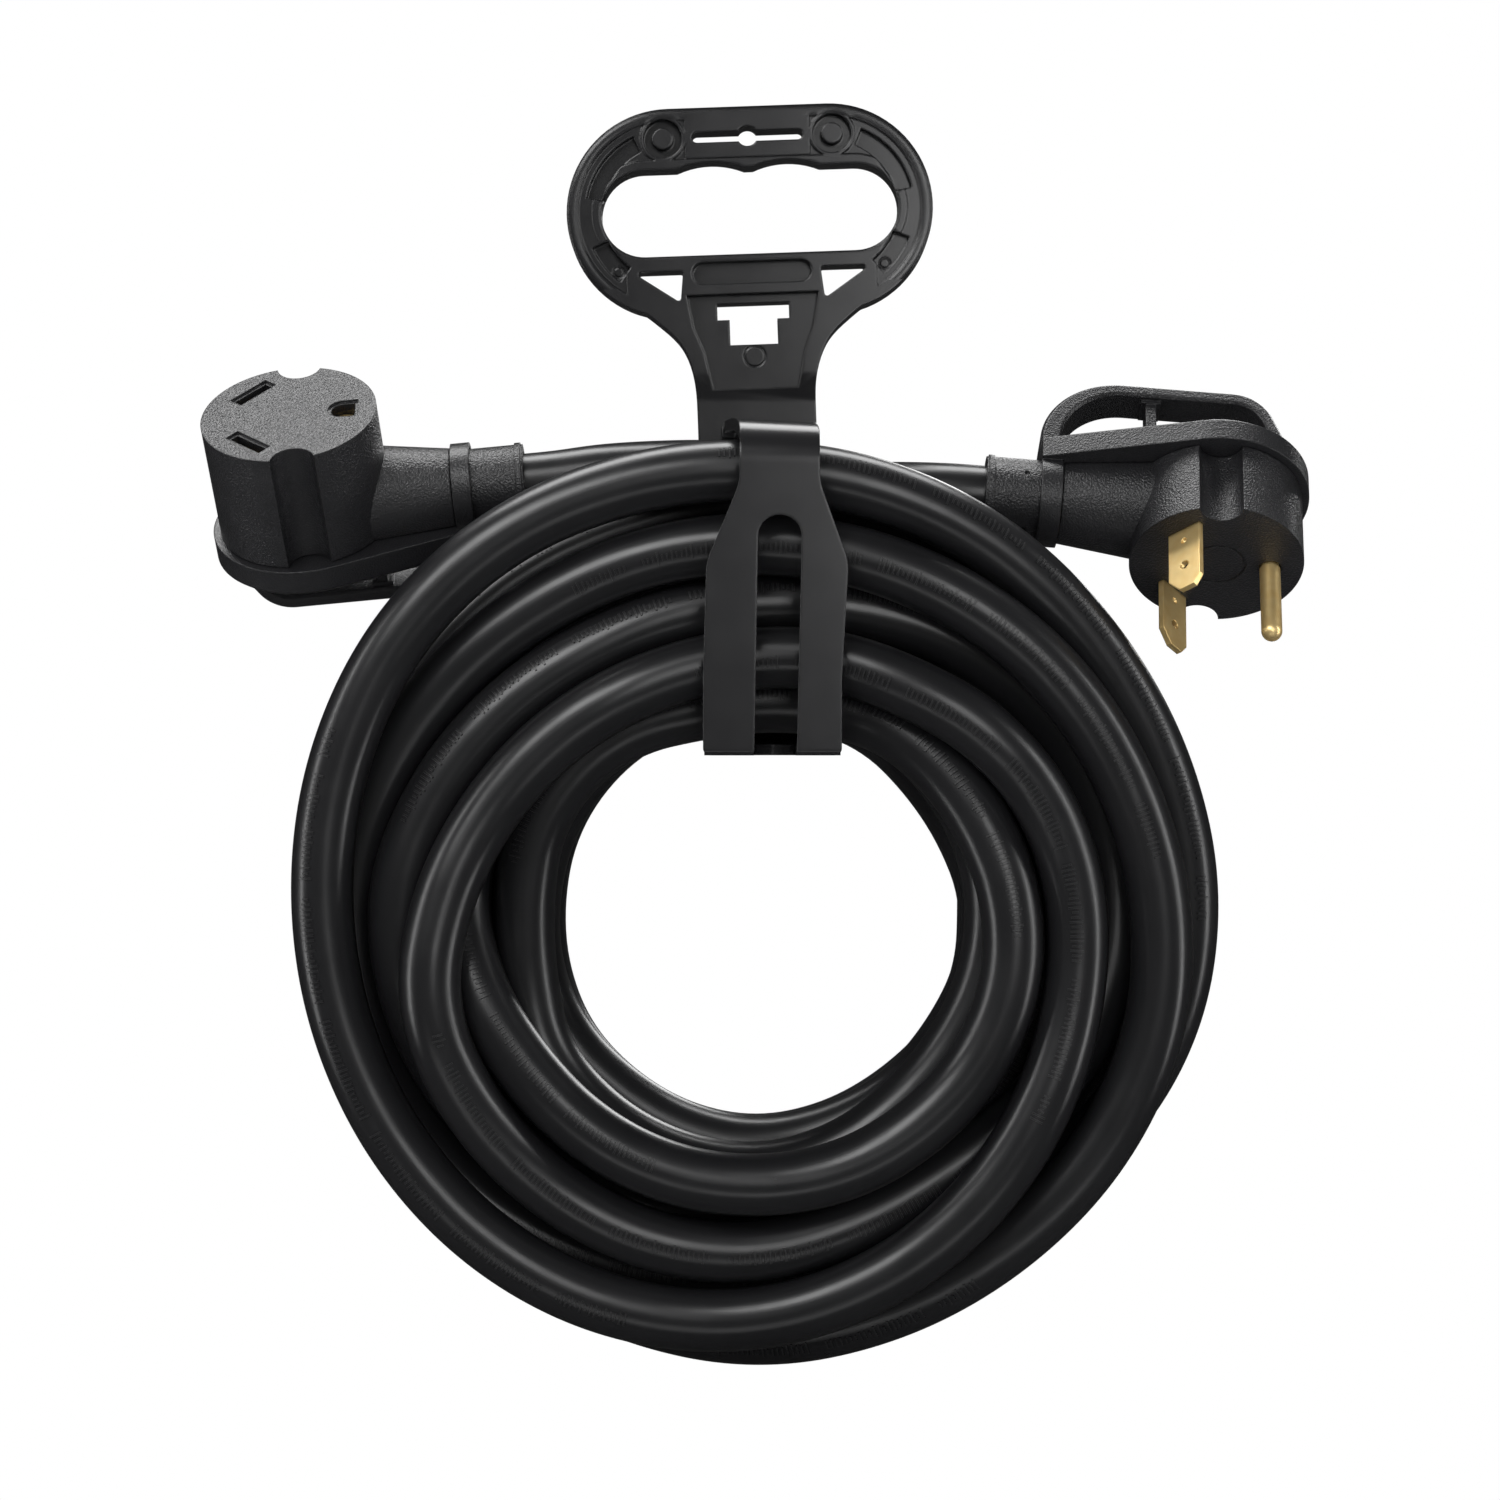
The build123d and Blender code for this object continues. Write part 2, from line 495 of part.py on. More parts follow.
def plug_blade(sy):
    """Male blade with its tab and crimp barrel."""
    tip = PLUG.face_z + BLADE_OUT
    w = BLADE_W / 2
    profile = polygon((-w, 1.0), (w, 1.0), (w, tip - 4.0), (w - 3.6, tip),
                      (-w + 2.2, tip), (-w, tip - 3.0))
    blade = extrude(Plane.XZ * profile, amount=BLADE_T / 2, both=True)
    blade -= Pos(0, 0, tip - 8.0) * Rot(90, 0, 0) * Cylinder(1.4, 6)
    blade -= Pos(0, -BLADE_T / 2, PLUG.face_z + 4.0) * Sphere(0.9)
    blade = blade_place(PLUG, sy) * blade
    tab = box(7.5, 12.5, sy * 4.65, sy * 14.0, 1.0, 1.0 + TAB_T)
    return terminal(6.0, 13.0, sy * CRIMP_Y, CRIMP_Z, [blade, tab])


def plug_ground_pin():
    x = PLUG.ground_x
    dome_z = PLUG.face_z + PIN_OUT - PIN_R
    pin = cyl_z(PIN_R, PLUG.face_z + 0.5, dome_z, x) + Pos(x, 0, dome_z) * Sphere(PIN_R)
    pin += cyl_z(PIN_R - 0.3, -4.2, PLUG.face_z + 0.6, x)      # shank inside the plug
    flange = cyl_z(4.0, 4.5, 6.5, x)
    return terminal(-13.0, -6.0, 0, -CORE_RING_R, [pin, flange])


def connector_clip(sy):
    """Female blade contact: two leaves on a base, tab, riser and crimp barrel."""
    clip = Pos(0, 0, 17.7) * Box(10.4, 4.6, 14.4)
    clip -= Pos(0, 0, 17.7 + TAB_T) * Box(11.4, 2.3, 14.4)
    clip = blade_place(CONNECTOR, sy) * clip
    x0, x1 = -BLADE_X - 2.5, -BLADE_X + 2.5
    tab = box(x0, x1, sy * 4.65, sy * 13.6, -1.0 - TAB_T, -1.0)
    riser = box(x0, x1, sy * 12.4, sy * 13.6, -1.0 - TAB_T, 11.2)
    return terminal(-13.0, -6.0, sy * CRIMP_Y, -CRIMP_Z, [clip, tab, riser])


def connector_ground_sleeve():
    sleeve = cyl_z(SLEEVE_R, 9.6, 25.6, GROUND_X)
    stem = box(GROUND_X - 1.8, GROUND_X + 1.8, -2.0, 2.0, 5.0, 10.0)
    t = terminal(12.5, 19.0, 0, CORE_RING_R, [sleeve, stem])
    return t - cyl_z(SLEEVE_BORE_R, 11.0, 27.0, GROUND_X)


# ---------------------------------------------------- contact blocks
def block_blank(end):
    notch_r = NOTCH_R + NOTCH_WALL + GAP
    return notched(BORE_R - GAP, notch_r, BLOCK_Z0, end.face_z - FACE_WALL - GAP)


def block_holes(block, end, ground_r):
    """Cut the ground contact's hole and the small hole near the middle."""
    block -= cyl_z(ground_r + GAP, 7.0, 28.0, end.ground_x)
    return block - cyl_z(BLOCK_HOLE_R, 7.0, 28.0, -end.side * BLOCK_HOLE_X)


def connector_insert():
    s = block_blank(CONNECTOR)
    for sy in (1, -1):
        s -= blade_place(CONNECTOR, sy) * Pos(0, 0, 18.2) * Box(11.2, 5.4, 21.0)
        # room for the clip's riser
        s -= box(-BLADE_X - 2.9, -BLADE_X + 2.9, sy * 13.0 - 1.0, sy * 13.0 + 1.0, 7.0, 12.0)
    return block_holes(s, CONNECTOR, SLEEVE_R)


def plug_bridge():
    s = block_blank(PLUG)
    for sy in (1, -1):
        s -= blade_clearance(sy, 12, 14)
    return block_holes(s, PLUG, PIN_R)


# --------------------------------------------------------------- organiser
def handle_outline():
    """Front view of the handle ring and the flare down to its neck."""
    ring = Pos(0, RING_Z) * Rectangle(2 * RING_HALF, 2 * RING_R)
    for sx in (1, -1):
        ring += Pos(sx * RING_HALF, RING_Z) * Circle(RING_R)
    right = Spline(*FLARE_EDGE, tangents=((-1, -0.45), (0, -1)))
    left = Spline(*mirrored(FLARE_EDGE), tangents=((0, 1), (-1, 0.45)))
    (top_x, top_z), (neck_x, neck_z) = FLARE_EDGE[0], FLARE_EDGE[-1]
    flare = make_face([
        right,
        *lines((neck_x, neck_z), (neck_x, 127.0), (-neck_x, 127.0), (-neck_x, neck_z)),
        left,
        *lines((-top_x, top_z), (-top_x, 180.0), (top_x, 180.0), (top_x, top_z))])
    return ring + flare


def turned(sketch):
    """Lean the handle sideways about the top of the strap."""
    return Pos(HANDLE_X, TURN_Z) * Rot(0, 0, HANDLE_TURN) * Pos(0, -TURN_Z) * sketch


def back_strap_outline():
    bottom = LOOP_Z - STRAP_T
    left, right = STRAP_CX - STRAP_HALF, STRAP_CX + STRAP_HALF
    strap = polygon((HANDLE_X - NECK_HALF, 131.0), (HANDLE_X + NECK_HALF, 131.0), (right, 60.0),
                    (right, bottom), (left, bottom), (left, 60.0))
    return fillet([v for v in strap.vertices() if v.Y < 50], LEG_CORNER_R)


def handle_side_view(front_y):
    """Side view (y, z) of handle, back strap and the run under the turns."""
    z_in, z_out = LOOP_Z, LOOP_Z - STRAP_T
    y_in, y_out = BACK_Y, BACK_Y + STRAP_T
    cy, cz = y_in - BEND_R, z_in + BEND_R
    r_in, r_out = BEND_R * COS45, (BEND_R + STRAP_T) * COS45
    return make_face([
        *lines((HANDLE_Y0, 235), (HANDLE_Y1, 235), (HANDLE_Y1, 168), (y_out, 138), (y_out, cz)),
        ThreePointArc((y_out, cz), (cy + r_out, cz - r_out), (cy, z_out)),
        *lines((cy, z_out), (front_y, z_out), (front_y, z_in), (cy, z_in)),
        ThreePointArc((cy, z_in), (cy + r_in, cz - r_in), (y_in, cz)),
        *lines((y_in, cz), (y_in, 141), (HANDLE_Y0, 150), (HANDLE_Y0, 235))])


def handle_openings():
    # hand opening with finger scallops along its top
    cuts = Pos(0, HOLE_Z) * Rectangle(2 * HOLE_HALF, 2 * HOLE_R)
    for sx in (1, -1):
        cuts += Pos(sx * HOLE_HALF, HOLE_Z) * Circle(HOLE_R)
        scallop = Pos(sx * SCALLOP_X, SCALLOP_Z) * Circle(SCALLOP_R)
        cuts += scallop & (Pos(sx * SCALLOP_X, 206) * Rectangle(2 * SCALLOP_X, 14.0))
    # hanging slot with the round nail hole in its middle
    cuts += Pos(0, HANG_Z) * SlotOverall(32.0, 3.1)
    cuts += Pos(0, HANG_Z) * Circle(2.95)
    # triangular windows and the T-shaped catch window
    for sx in (1, -1):
        window = polygon((sx * 34.4, 179.6), (sx * 19.8, 179.6), (sx * 20.8, 170.4))
        cuts += fillet(window.vertices(), 0.8)
    cuts += Pos(0, 167.6) * Rectangle(20.8, 4.6) + Pos(0, 162.2) * Rectangle(13.8, 8.4)
    return cuts


def arc_pocket(sx, a0, a1):
    """Ring sector about a ring end, each arc in ten straight steps."""
    if sx < 0:
        a0, a1 = 180 - a1, 180 - a0
    steps = 10
    angles = [math.radians(a0 + (a1 - a0) * i / steps) for i in range(steps + 1)]
    points = [(sx * RING_HALF + r * math.cos(a), RING_Z + r * math.sin(a))
              for r, arc in ((24.6, angles), (19.6, angles[::-1])) for a in arc]
    return polygon(*points)


def handle_pockets():
    """Slot under the opening, rings around the pads and arcs beside the opening."""
    pockets = Pos(0, 178.6) * SlotOverall(34.5, 6.4)
    for sx in (1, -1):
        pockets += Pos(sx * PAD_X, HANG_Z) * (Circle(5.6) - Circle(3.0))
        pockets += arc_pocket(sx, 12, 66)
        pockets += arc_pocket(sx, -52, -22)
    return pockets


def handle_step():
    """Lowered band around the opening; pads and hanging slot stay proud."""
    outer_r, inner_r = 26.6, 15.2
    step = Pos(0, RING_Z) * (SlotOverall(2 * (RING_HALF + outer_r), 2 * outer_r)
                             - SlotOverall(2 * (HOLE_HALF + inner_r), 2 * inner_r))
    step -= Pos(0, 175.0) * Rectangle(72.0, 22.0)
    for sx in (1, -1):
        step -= Pos(sx * PAD_X, HANG_Z) * Circle(6.6)
    return step - Pos(0, HANG_Z) * Rectangle(36.0, 12.0)


def front_recess(sketch, depth):
    """Cutter reaching `depth` into the handle's front face."""
    return slab(turned(sketch), 20, HANDLE_Y0 + depth)


def organiser_handle():
    plan = slab(turned(handle_outline()) + back_strap_outline(), -40.0, 60.0)
    front_y = HINGE_Y + STRAP_T / 2 + GAP      # stops just behind the hinge line
    side_view = handle_side_view(front_y)
    body = plan & (Pos(-80, 0, 0) * extrude(Plane.YZ * side_view, amount=160))
    # the long slot of the front strap runs on round the bend and under the turns
    z0, z1 = LOOP_Z - STRAP_T - 1, LOOP_Z + 1
    body -= box(LEG_IN_L, LEG_IN_R, front_y - 1, SLOT_END_Y, z0, z1)
    body -= cyl_z((LEG_IN_R - LEG_IN_L) / 2, z0, z1, (LEG_IN_L + LEG_IN_R) / 2, SLOT_END_Y)
    body -= slab(turned(handle_openings()), -50, 70)

    body -= front_recess(handle_pockets(), 3.4)
    body -= front_recess(handle_step(), 0.7)
    body -= front_recess(polygon(*PANEL_EDGE, *mirrored(PANEL_EDGE)), 3.2)
    # fine ring grooves: one in the panel, one on each side of the flare
    body -= front_recess(Pos(0, 154.6) * (Circle(3.2) - Circle(2.8)), 3.5)
    for sx in (1, -1):
        body -= front_recess(Pos(sx * 38.4, 180.2) * (Circle(1.7) - Circle(1.3)), 3.7)
    return body


def front_strap_outline():
    left, right = STRAP_CX - STRAP_HALF, STRAP_CX + STRAP_HALF
    hook_l, hook_r = HOOK_X - HOOK_HALF, HOOK_X + HOOK_HALF
    bottom = LOOP_Z - STRAP_T
    outline = polygon((hook_l, 136.0), (hook_r, 136.0), (hook_r, 113.0), (24.6, 91.5),
                      (right, 60.0), (right, bottom), (left, bottom), (left, 60.0),
                      (-13.7, 91.5), (hook_l, 113.0))
    outline = fillet([v for v in outline.vertices() if 80 < v.Y < 120], 14.0)
    return fillet([v for v in outline.vertices() if v.Y < 50], LEG_CORNER_R)


def front_strap_side_view():
    """Side view (y, z): up from the rounded hinge end and over into the hook."""
    y_out, y_in = HINGE_Y - STRAP_T / 2, HINGE_Y + STRAP_T / 2
    cy, cz = -20.2, 118.0
    r_in = cy - y_in
    r_out = r_in + STRAP_T
    q_in, q_out = r_in * COS45, r_out * COS45
    return make_face([
        Line((y_out, HINGE_Z), (y_out, cz)),
        ThreePointArc((y_out, cz), (cy - q_out, cz + q_out), (cy, cz + r_out)),
        Spline((cy, cz + r_out), (-13.0, 129.5), (-6.4, 127.3), tangents=((1, 0), (1, -0.42))),
        ThreePointArc((-6.4, 127.3), (-5.4, 125.9), (-6.8, 124.9)),
        Spline((-6.8, 124.9), (-13.0, 126.5), (cy, cz + r_in), tangents=((-1, 0.30), (-1, 0))),
        ThreePointArc((cy, cz + r_in), (cy - q_in, cz + q_in), (y_in, cz)),
        Line((y_in, cz), (y_in, HINGE_Z)),
        ThreePointArc((y_in, HINGE_Z), (HINGE_Y, HINGE_Z - STRAP_T / 2), (y_out, HINGE_Z))])


def organiser_front_strap():
    slot_l, slot_r, slot_z = HOOK_X - 5.9, HOOK_X + 5.9, 98.2
    slot = make_face([
        ThreePointArc((slot_l, slot_z), (HOOK_X, slot_z + 6.0), (slot_r, slot_z)),
        *lines((slot_r, slot_z), (LEG_IN_R, 36.0), (LEG_IN_L, 36.0), (slot_l, slot_z))])
    profile = Pos(-40, 0, 0) * extrude(Plane.YZ * front_strap_side_view(), amount=90)
    body = profile & slab(front_strap_outline(), -60, 10)
    body -= slab(slot, -60, 10)
    # T-shaped tip of the hook: a narrower neck behind a wider head
    for sx in (1, -1):
        body -= Pos(HOOK_X + sx * (6.5 + 5), -12.6, 128) * Box(10.0, 4.6, 14)
        body -= Pos(HOOK_X + sx * (10.0 + 5), -7.0, 128) * Box(10.0, 8.0, 14)
    return body


# ----------------------------------------------------------------- output
def build_cable():
    save(pipe(NODES, TANGENTS, JACKET_R, JACKET_BORE_R), "cable_jacket")
    for name, degrees, copper_p, insul_p, copper_c, insul_c in CORES:
        phase = math.radians(degrees)
        copper = pipe(*core_path(phase, copper_p, copper_c), COPPER_R)
        save(copper, name + "_conductor")
        insulation = pipe(*core_path(phase, insul_p, insul_c), INSUL_R, INSUL_BORE_R)
        save(insulation, name + "_insulation")


def build_ends():
    at = CONNECTOR.location
    save(at * connector_body(), "connector_body")
    save(at * connector_insert(), "connector_insert")
    save(at * connector_clip(1), "connector_hot_contact")
    save(at * connector_clip(-1), "connector_neutral_contact")
    save(at * connector_ground_sleeve(), "connector_ground_sleeve")
    save(at * grip(CONNECTOR), "connector_grip")
    at = PLUG.location
    save(at * plug_body(), "plug_body")
    save(at * plug_bridge(), "plug_bridge")
    save(at * plug_blade(1), "plug_hot_blade")
    save(at * plug_blade(-1), "plug_neutral_blade")
    save(at * plug_ground_pin(), "plug_ground_pin")
    save(at * plug_grip(), "plug_grip")


save(organiser_handle(), "organiser_handle")
save(organiser_front_strap(), "organiser_front_strap")
build_ends()
build_cable()
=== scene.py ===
# A black extension cord wound into a coil and held by a carrying organiser, whose handle ring
# stands above it and whose strap hooks over in front. The coil turns about the Y axis: +X is
# right, +Z is up and the camera looks along +Y. The centre line is laid out in millimetres;
# meshes, materials, lights and camera are in metres.
import bpy
import bmesh
import json
import math
import random
from bisect import bisect_left
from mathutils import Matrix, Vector


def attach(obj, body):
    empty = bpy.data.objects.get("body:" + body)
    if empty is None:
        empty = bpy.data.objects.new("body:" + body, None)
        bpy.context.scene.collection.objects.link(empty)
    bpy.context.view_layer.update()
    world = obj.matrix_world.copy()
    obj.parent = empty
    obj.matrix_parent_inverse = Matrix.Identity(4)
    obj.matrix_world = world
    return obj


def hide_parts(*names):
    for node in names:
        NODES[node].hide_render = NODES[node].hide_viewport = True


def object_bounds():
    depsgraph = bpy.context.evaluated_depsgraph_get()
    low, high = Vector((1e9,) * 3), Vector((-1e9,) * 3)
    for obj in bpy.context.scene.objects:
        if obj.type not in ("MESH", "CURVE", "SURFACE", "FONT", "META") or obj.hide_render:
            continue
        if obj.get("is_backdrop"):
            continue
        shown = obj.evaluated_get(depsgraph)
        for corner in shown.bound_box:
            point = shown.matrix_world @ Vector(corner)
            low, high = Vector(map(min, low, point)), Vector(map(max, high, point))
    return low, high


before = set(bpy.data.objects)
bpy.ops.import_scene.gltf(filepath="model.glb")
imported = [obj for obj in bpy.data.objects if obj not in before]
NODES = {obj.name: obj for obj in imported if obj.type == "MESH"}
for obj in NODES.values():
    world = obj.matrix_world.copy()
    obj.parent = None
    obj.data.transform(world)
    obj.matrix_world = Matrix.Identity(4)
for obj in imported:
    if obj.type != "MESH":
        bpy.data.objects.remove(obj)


def record_bounds(store, key):
    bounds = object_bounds()
    # bounds that are not plain rows of numbers are stored through JSON instead
    try:
        store[key] = [[float(x) for x in v] for v in bounds]
    except TypeError:
        store[key] = json.loads(json.dumps(bounds, default=list))


SIZE = {}
record_bounds(SIZE, "loaded")
MM = 0.001
ROOT = "cord_and_handle"
scene = bpy.context.scene
scene.view_settings.view_transform = "Standard"


# ------------------------------------------------------------ node helpers
def put(tree, socket, value):
    """Link a socket or set a plain value."""
    if isinstance(value, bpy.types.NodeSocket):
        tree.links.new(value, socket)
    else:
        socket.default_value = value


def map_range(tree, value, low, high):
    """Map 0..1 to low..high."""
    node = tree.nodes.new("ShaderNodeMapRange")
    for index, v in ((0, value), (3, low), (4, high)):
        put(tree, node.inputs[index], v)
    return node.outputs[0]


class Graph:
    """A Principled material whose shader maths is written one line each."""

    def __init__(self, name):
        self.material = bpy.data.materials.new(name)
        self.material.use_nodes = True
        self.tree = self.material.node_tree
        self.tree.nodes.clear()
        output = self.node("OutputMaterial")
        self.bsdf = self.node("BsdfPrincipled")
        self.tree.links.new(self.bsdf.outputs[0], output.inputs[0])

    def node(self, kind, **inputs):
        node = self.tree.nodes.new("ShaderNode" + kind)
        for name, value in inputs.items():
            put(self.tree, node.inputs[name], value)
        return node

    def calc(self, operation, *values):
        node = self.node("Math")
        node.operation = operation
        for socket, value in zip(node.inputs, values):
            put(self.tree, socket, value)
        return node.outputs[0]

    def noise(self, vector, scale, detail=2.0, rough=0.5):
        return self.node("TexNoise", Vector=vector, Scale=scale, Detail=detail,
                         Roughness=rough).outputs[0]

    def voronoi(self, vector, scale):
        return self.node("TexVoronoi", Vector=vector, Scale=scale).outputs["Distance"]

    def object_coords(self):
        return self.node("TexCoord").outputs["Object"]

    def separate(self, vector):
        return self.node("SeparateXYZ", Vector=vector).outputs

    def ramp(self, value, low, high):
        return map_range(self.tree, value, low, high)

    def colour(self, factor, low, high):
        node = self.node("Mix")
        node.data_type = "RGBA"
        put(self.tree, node.inputs[0], factor)
        node.inputs[6].default_value = (*low, 1)
        node.inputs[7].default_value = (*high, 1)
        return node.outputs[2]

    def bump(self, height, strength, distance, normal=None):
        node = self.node("Bump", Strength=strength, Distance=distance, Height=height)
        if normal is not None:
            put(self.tree, node.inputs["Normal"], normal)
        return node.outputs[0]

    def bevel(self, radius, samples=6):
        node = self.node("Bevel", Radius=radius)
        node.samples = samples
        return node.outputs[0]

    def finish(self, **inputs):
        """Set the Principled inputs; an underscore stands for a space."""
        for name, value in inputs.items():
            put(self.tree, self.bsdf.inputs[name.replace("_", " ")], value)
        return self.material


# --------------------------------------------------------------- materials
def cable_material():
    g = Graph("cable_pvc")
    uv = g.node("UVMap")
    uv.uv_map = "along"
    along, turn = g.separate(uv.outputs[0])[:2]    # metres along, turns around
    obj = g.object_coords()
    # stretched noise: faint drawing lines along the extrusion
    stretched = g.node("CombineXYZ", X=g.calc("MULTIPLY", along, 9.0),
                       Y=g.calc("MULTIPLY", turn, 26.0)).outputs[0]
    lines = g.noise(stretched, scale=1.0, detail=3.0)
    normal = g.bump(lines, strength=0.35, distance=0.00010)
    normal = g.bump(g.noise(obj, scale=45.0), strength=0.30, distance=0.0006, normal=normal)
    normal = g.bump(g.noise(obj, scale=2600.0), strength=0.06, distance=0.00003, normal=normal)
    rough = g.ramp(g.noise(obj, scale=90.0, detail=3.0), low=0.25, high=0.36)
    base = g.colour(g.noise(obj, scale=30.0),
                    low=(0.0042, 0.0042, 0.0048), high=(0.0075, 0.0075, 0.0082))
    return g.finish(Base_Color=base, Roughness=rough, IOR=1.48, Normal=normal)


def grained(name, low, high, rough, scale, strength, bevel):
    """Moulded plastic with fine pits; low and high are its two colours."""
    g = Graph(name)
    obj = g.object_coords()
    edge = g.bevel(bevel)
    cells = g.calc("MULTIPLY", g.voronoi(obj, scale * 0.55), 0.8)
    pits = g.calc("ADD", g.noise(obj, scale, detail=1.5), cells)
    normal = g.bump(pits, strength, distance=0.00022, normal=edge)
    flow = g.noise(obj, scale=50.0, detail=1.0)
    normal = g.bump(flow, strength=0.05, distance=0.0004, normal=normal)
    roughness = g.ramp(g.noise(obj, scale=260.0, detail=3.0), *rough)
    base = g.colour(g.noise(obj, scale=60.0), low, high)
    return g.finish(Base_Color=base, Roughness=roughness, IOR=1.47, Normal=normal)


def ring_edge_radius(g, obj, edge):
    """Edge radius that grows on the outline of the handle ring and of its hand opening."""
    pivot_x, pivot_z, tilt = 0.0003, 0.130, math.radians(-2.0)
    ring_z = 0.1964                                # middle of the ring
    outer_half, outer_radius, outer_margin = 0.02285, 0.0299, 0.0031
    inner_half, inner_radius, inner_margin = 0.0303, 0.0125, 0.0016
    outer_edge, inner_edge = 0.0024, 0.0013
    lowest = -0.0215                               # below the middle only the plain edge
    cos, sin = math.cos(tilt), math.sin(tilt)
    x, _, z = g.separate(obj)
    dx = g.calc("SUBTRACT", x, pivot_x)
    dz = g.calc("SUBTRACT", z, pivot_z)
    across = g.calc("ABSOLUTE", g.calc("SUBTRACT", g.calc("MULTIPLY", dx, cos),
                                       g.calc("MULTIPLY", dz, sin)))
    turned = g.calc("ADD", g.calc("MULTIPLY", dx, sin), g.calc("MULTIPLY", dz, cos))
    up = g.calc("ADD", turned, pivot_z - ring_z)

    def distance(half):
        """Distance from a level segment of this half length."""
        past = g.calc("MAXIMUM", g.calc("SUBTRACT", across, half), 0.0)
        return g.calc("SQRT", g.calc("ADD", g.calc("MULTIPLY", past, past),
                                     g.calc("MULTIPLY", up, up)))

    outer = g.calc("GREATER_THAN", distance(outer_half), outer_radius - outer_margin)
    inner = g.calc("LESS_THAN", distance(inner_half), inner_radius + inner_margin)
    upper = g.calc("GREATER_THAN", up, lowest)
    extra = g.calc("ADD", g.calc("MULTIPLY", outer, outer_edge - edge),
                   g.calc("MULTIPLY", inner, inner_edge - edge))
    return g.calc("ADD", edge, g.calc("MULTIPLY", upper, extra))


def glossy(name, edge, ring=False):
    g = Graph(name)
    obj = g.object_coords()
    normal = g.bevel(edge, samples=10)
    if ring:
        put(g.tree, normal.node.inputs["Radius"], ring_edge_radius(g, obj, edge))
    waves = g.noise(obj, scale=30.0, detail=1.0)
    normal = g.bump(waves, strength=0.10, distance=0.0006, normal=normal)
    normal = g.bump(g.noise(obj, scale=1500.0), strength=0.04, distance=0.00003, normal=normal)
    rough = g.ramp(g.noise(obj, scale=120.0), low=0.19, high=0.27)
    base = g.colour(g.noise(obj, scale=25.0),
                    low=(0.005, 0.005, 0.0056), high=(0.0085, 0.0085, 0.009))
    return g.finish(Base_Color=base, Roughness=rough, IOR=1.5, Normal=normal)


def brass(name):
    g = Graph(name)
    obj = g.object_coords()
    edge = g.bevel(radius=0.00035, samples=8)
    stretched = g.node("Mapping", Vector=obj, Scale=(1.0, 0.35, 1.6)).outputs[0]
    scratches = g.noise(stretched, scale=900.0, detail=4.0, rough=0.7)
    normal = g.bump(scratches, strength=0.06, distance=0.00004, normal=edge)
    base = g.colour(g.noise(obj, scale=300.0), low=(0.86, 0.58, 0.22), high=(0.97, 0.76, 0.38))
    rough = g.ramp(g.noise(obj, scale=500.0), low=0.34, high=0.48)
    return g.finish(Base_Color=base, Metallic=0.9, Roughness=rough, Normal=normal)


def plain(name, colour, rough, metallic=0.0):
    g = Graph(name)
    obj = g.object_coords()
    normal = g.bump(g.noise(obj, scale=1400.0), strength=0.15, distance=0.00008)
    darker = tuple(c * 0.88 for c in colour)
    base = g.colour(g.noise(obj, scale=80.0), low=darker, high=colour)
    roughness = g.ramp(g.noise(obj, scale=200.0), low=rough - 0.06, high=rough + 0.06)
    return g.finish(Base_Color=base, Roughness=roughness, Metallic=metallic, Normal=normal)


CABLE = cable_material()
STROKE = plain("stroke_black", (0.0085, 0.0085, 0.0092), rough=0.36)
BODY = grained("overmould", (0.006, 0.006, 0.0068), (0.0115, 0.0115, 0.0125),
               rough=(0.26, 0.37), scale=2700.0, strength=0.78, bevel=0.0005)
GRIP = grained("grip", (0.006, 0.006, 0.0068), (0.0105, 0.0105, 0.0115),
               rough=(0.28, 0.38), scale=2900.0, strength=0.42, bevel=0.0006)
INSERT = grained("insert", (0.008, 0.008, 0.009), (0.013, 0.013, 0.014),
                 rough=(0.4, 0.55), scale=1500.0, strength=0.2, bevel=0.0003)
ORGANISER = glossy("organiser", edge=0.0007)
HANDLE = glossy("organiser_handle_face", edge=0.0007, ring=True)
BRASS = brass("contact_brass")
COPPER = plain("copper", (0.80, 0.42, 0.25), rough=0.28, metallic=1.0)
CORE_BLACK = plain("core_black", (0.02, 0.02, 0.02), rough=0.45)
CORE_WHITE = plain("core_white", (0.82, 0.82, 0.80), rough=0.45)
CORE_GREEN = plain("core_green", (0.03, 0.32, 0.10), rough=0.45)

PAINT_PLAN = (
    (INSERT, ("connector_insert", "plug_bridge")),
    (BRASS, ("connector_hot_contact", "connector_neutral_contact", "connector_ground_sleeve",
             "plug_hot_blade", "plug_neutral_blade", "plug_ground_pin")),
    (COPPER, ("hot_conductor", "neutral_conductor", "ground_conductor")),
    (CORE_BLACK, ("hot_insulation",)),
    (CORE_WHITE, ("neutral_insulation",)),
    (CORE_GREEN, ("ground_insulation",)),
    (HANDLE, ("organiser_handle",)),
    (ORGANISER, ("organiser_front_strap",)),
    (BODY, ("connector_body", "plug_body")),
    (GRIP, ("connector_grip", "plug_grip")),
    (CABLE, ("cable_jacket",)),
)


def paint(obj, material):
    obj.data.materials.clear()
    obj.data.materials.append(material)


for material, pieces in PAINT_PLAN:
    for piece in pieces:
        paint(NODES[piece], material)


# ------------------------------------------------------------ mesh helpers
def link_object(name, data):
    obj = bpy.data.objects.new(name, data)
    scene.collection.objects.link(obj)
    return obj


def mesh_object(name, bm):
    mesh = bpy.data.meshes.new(name)
    bm.to_mesh(mesh)
    bm.free()
    return link_object(name, mesh)


def register(obj, material, body=ROOT, replaces=None):
    paint(obj, material)
    if replaces:
        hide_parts(replaces)
    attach(obj, body)


def solid(name, bm, material, replaces=None):
    bmesh.ops.recalc_face_normals(bm, faces=bm.faces)
    register(mesh_object(name, bm), material, replaces=replaces)


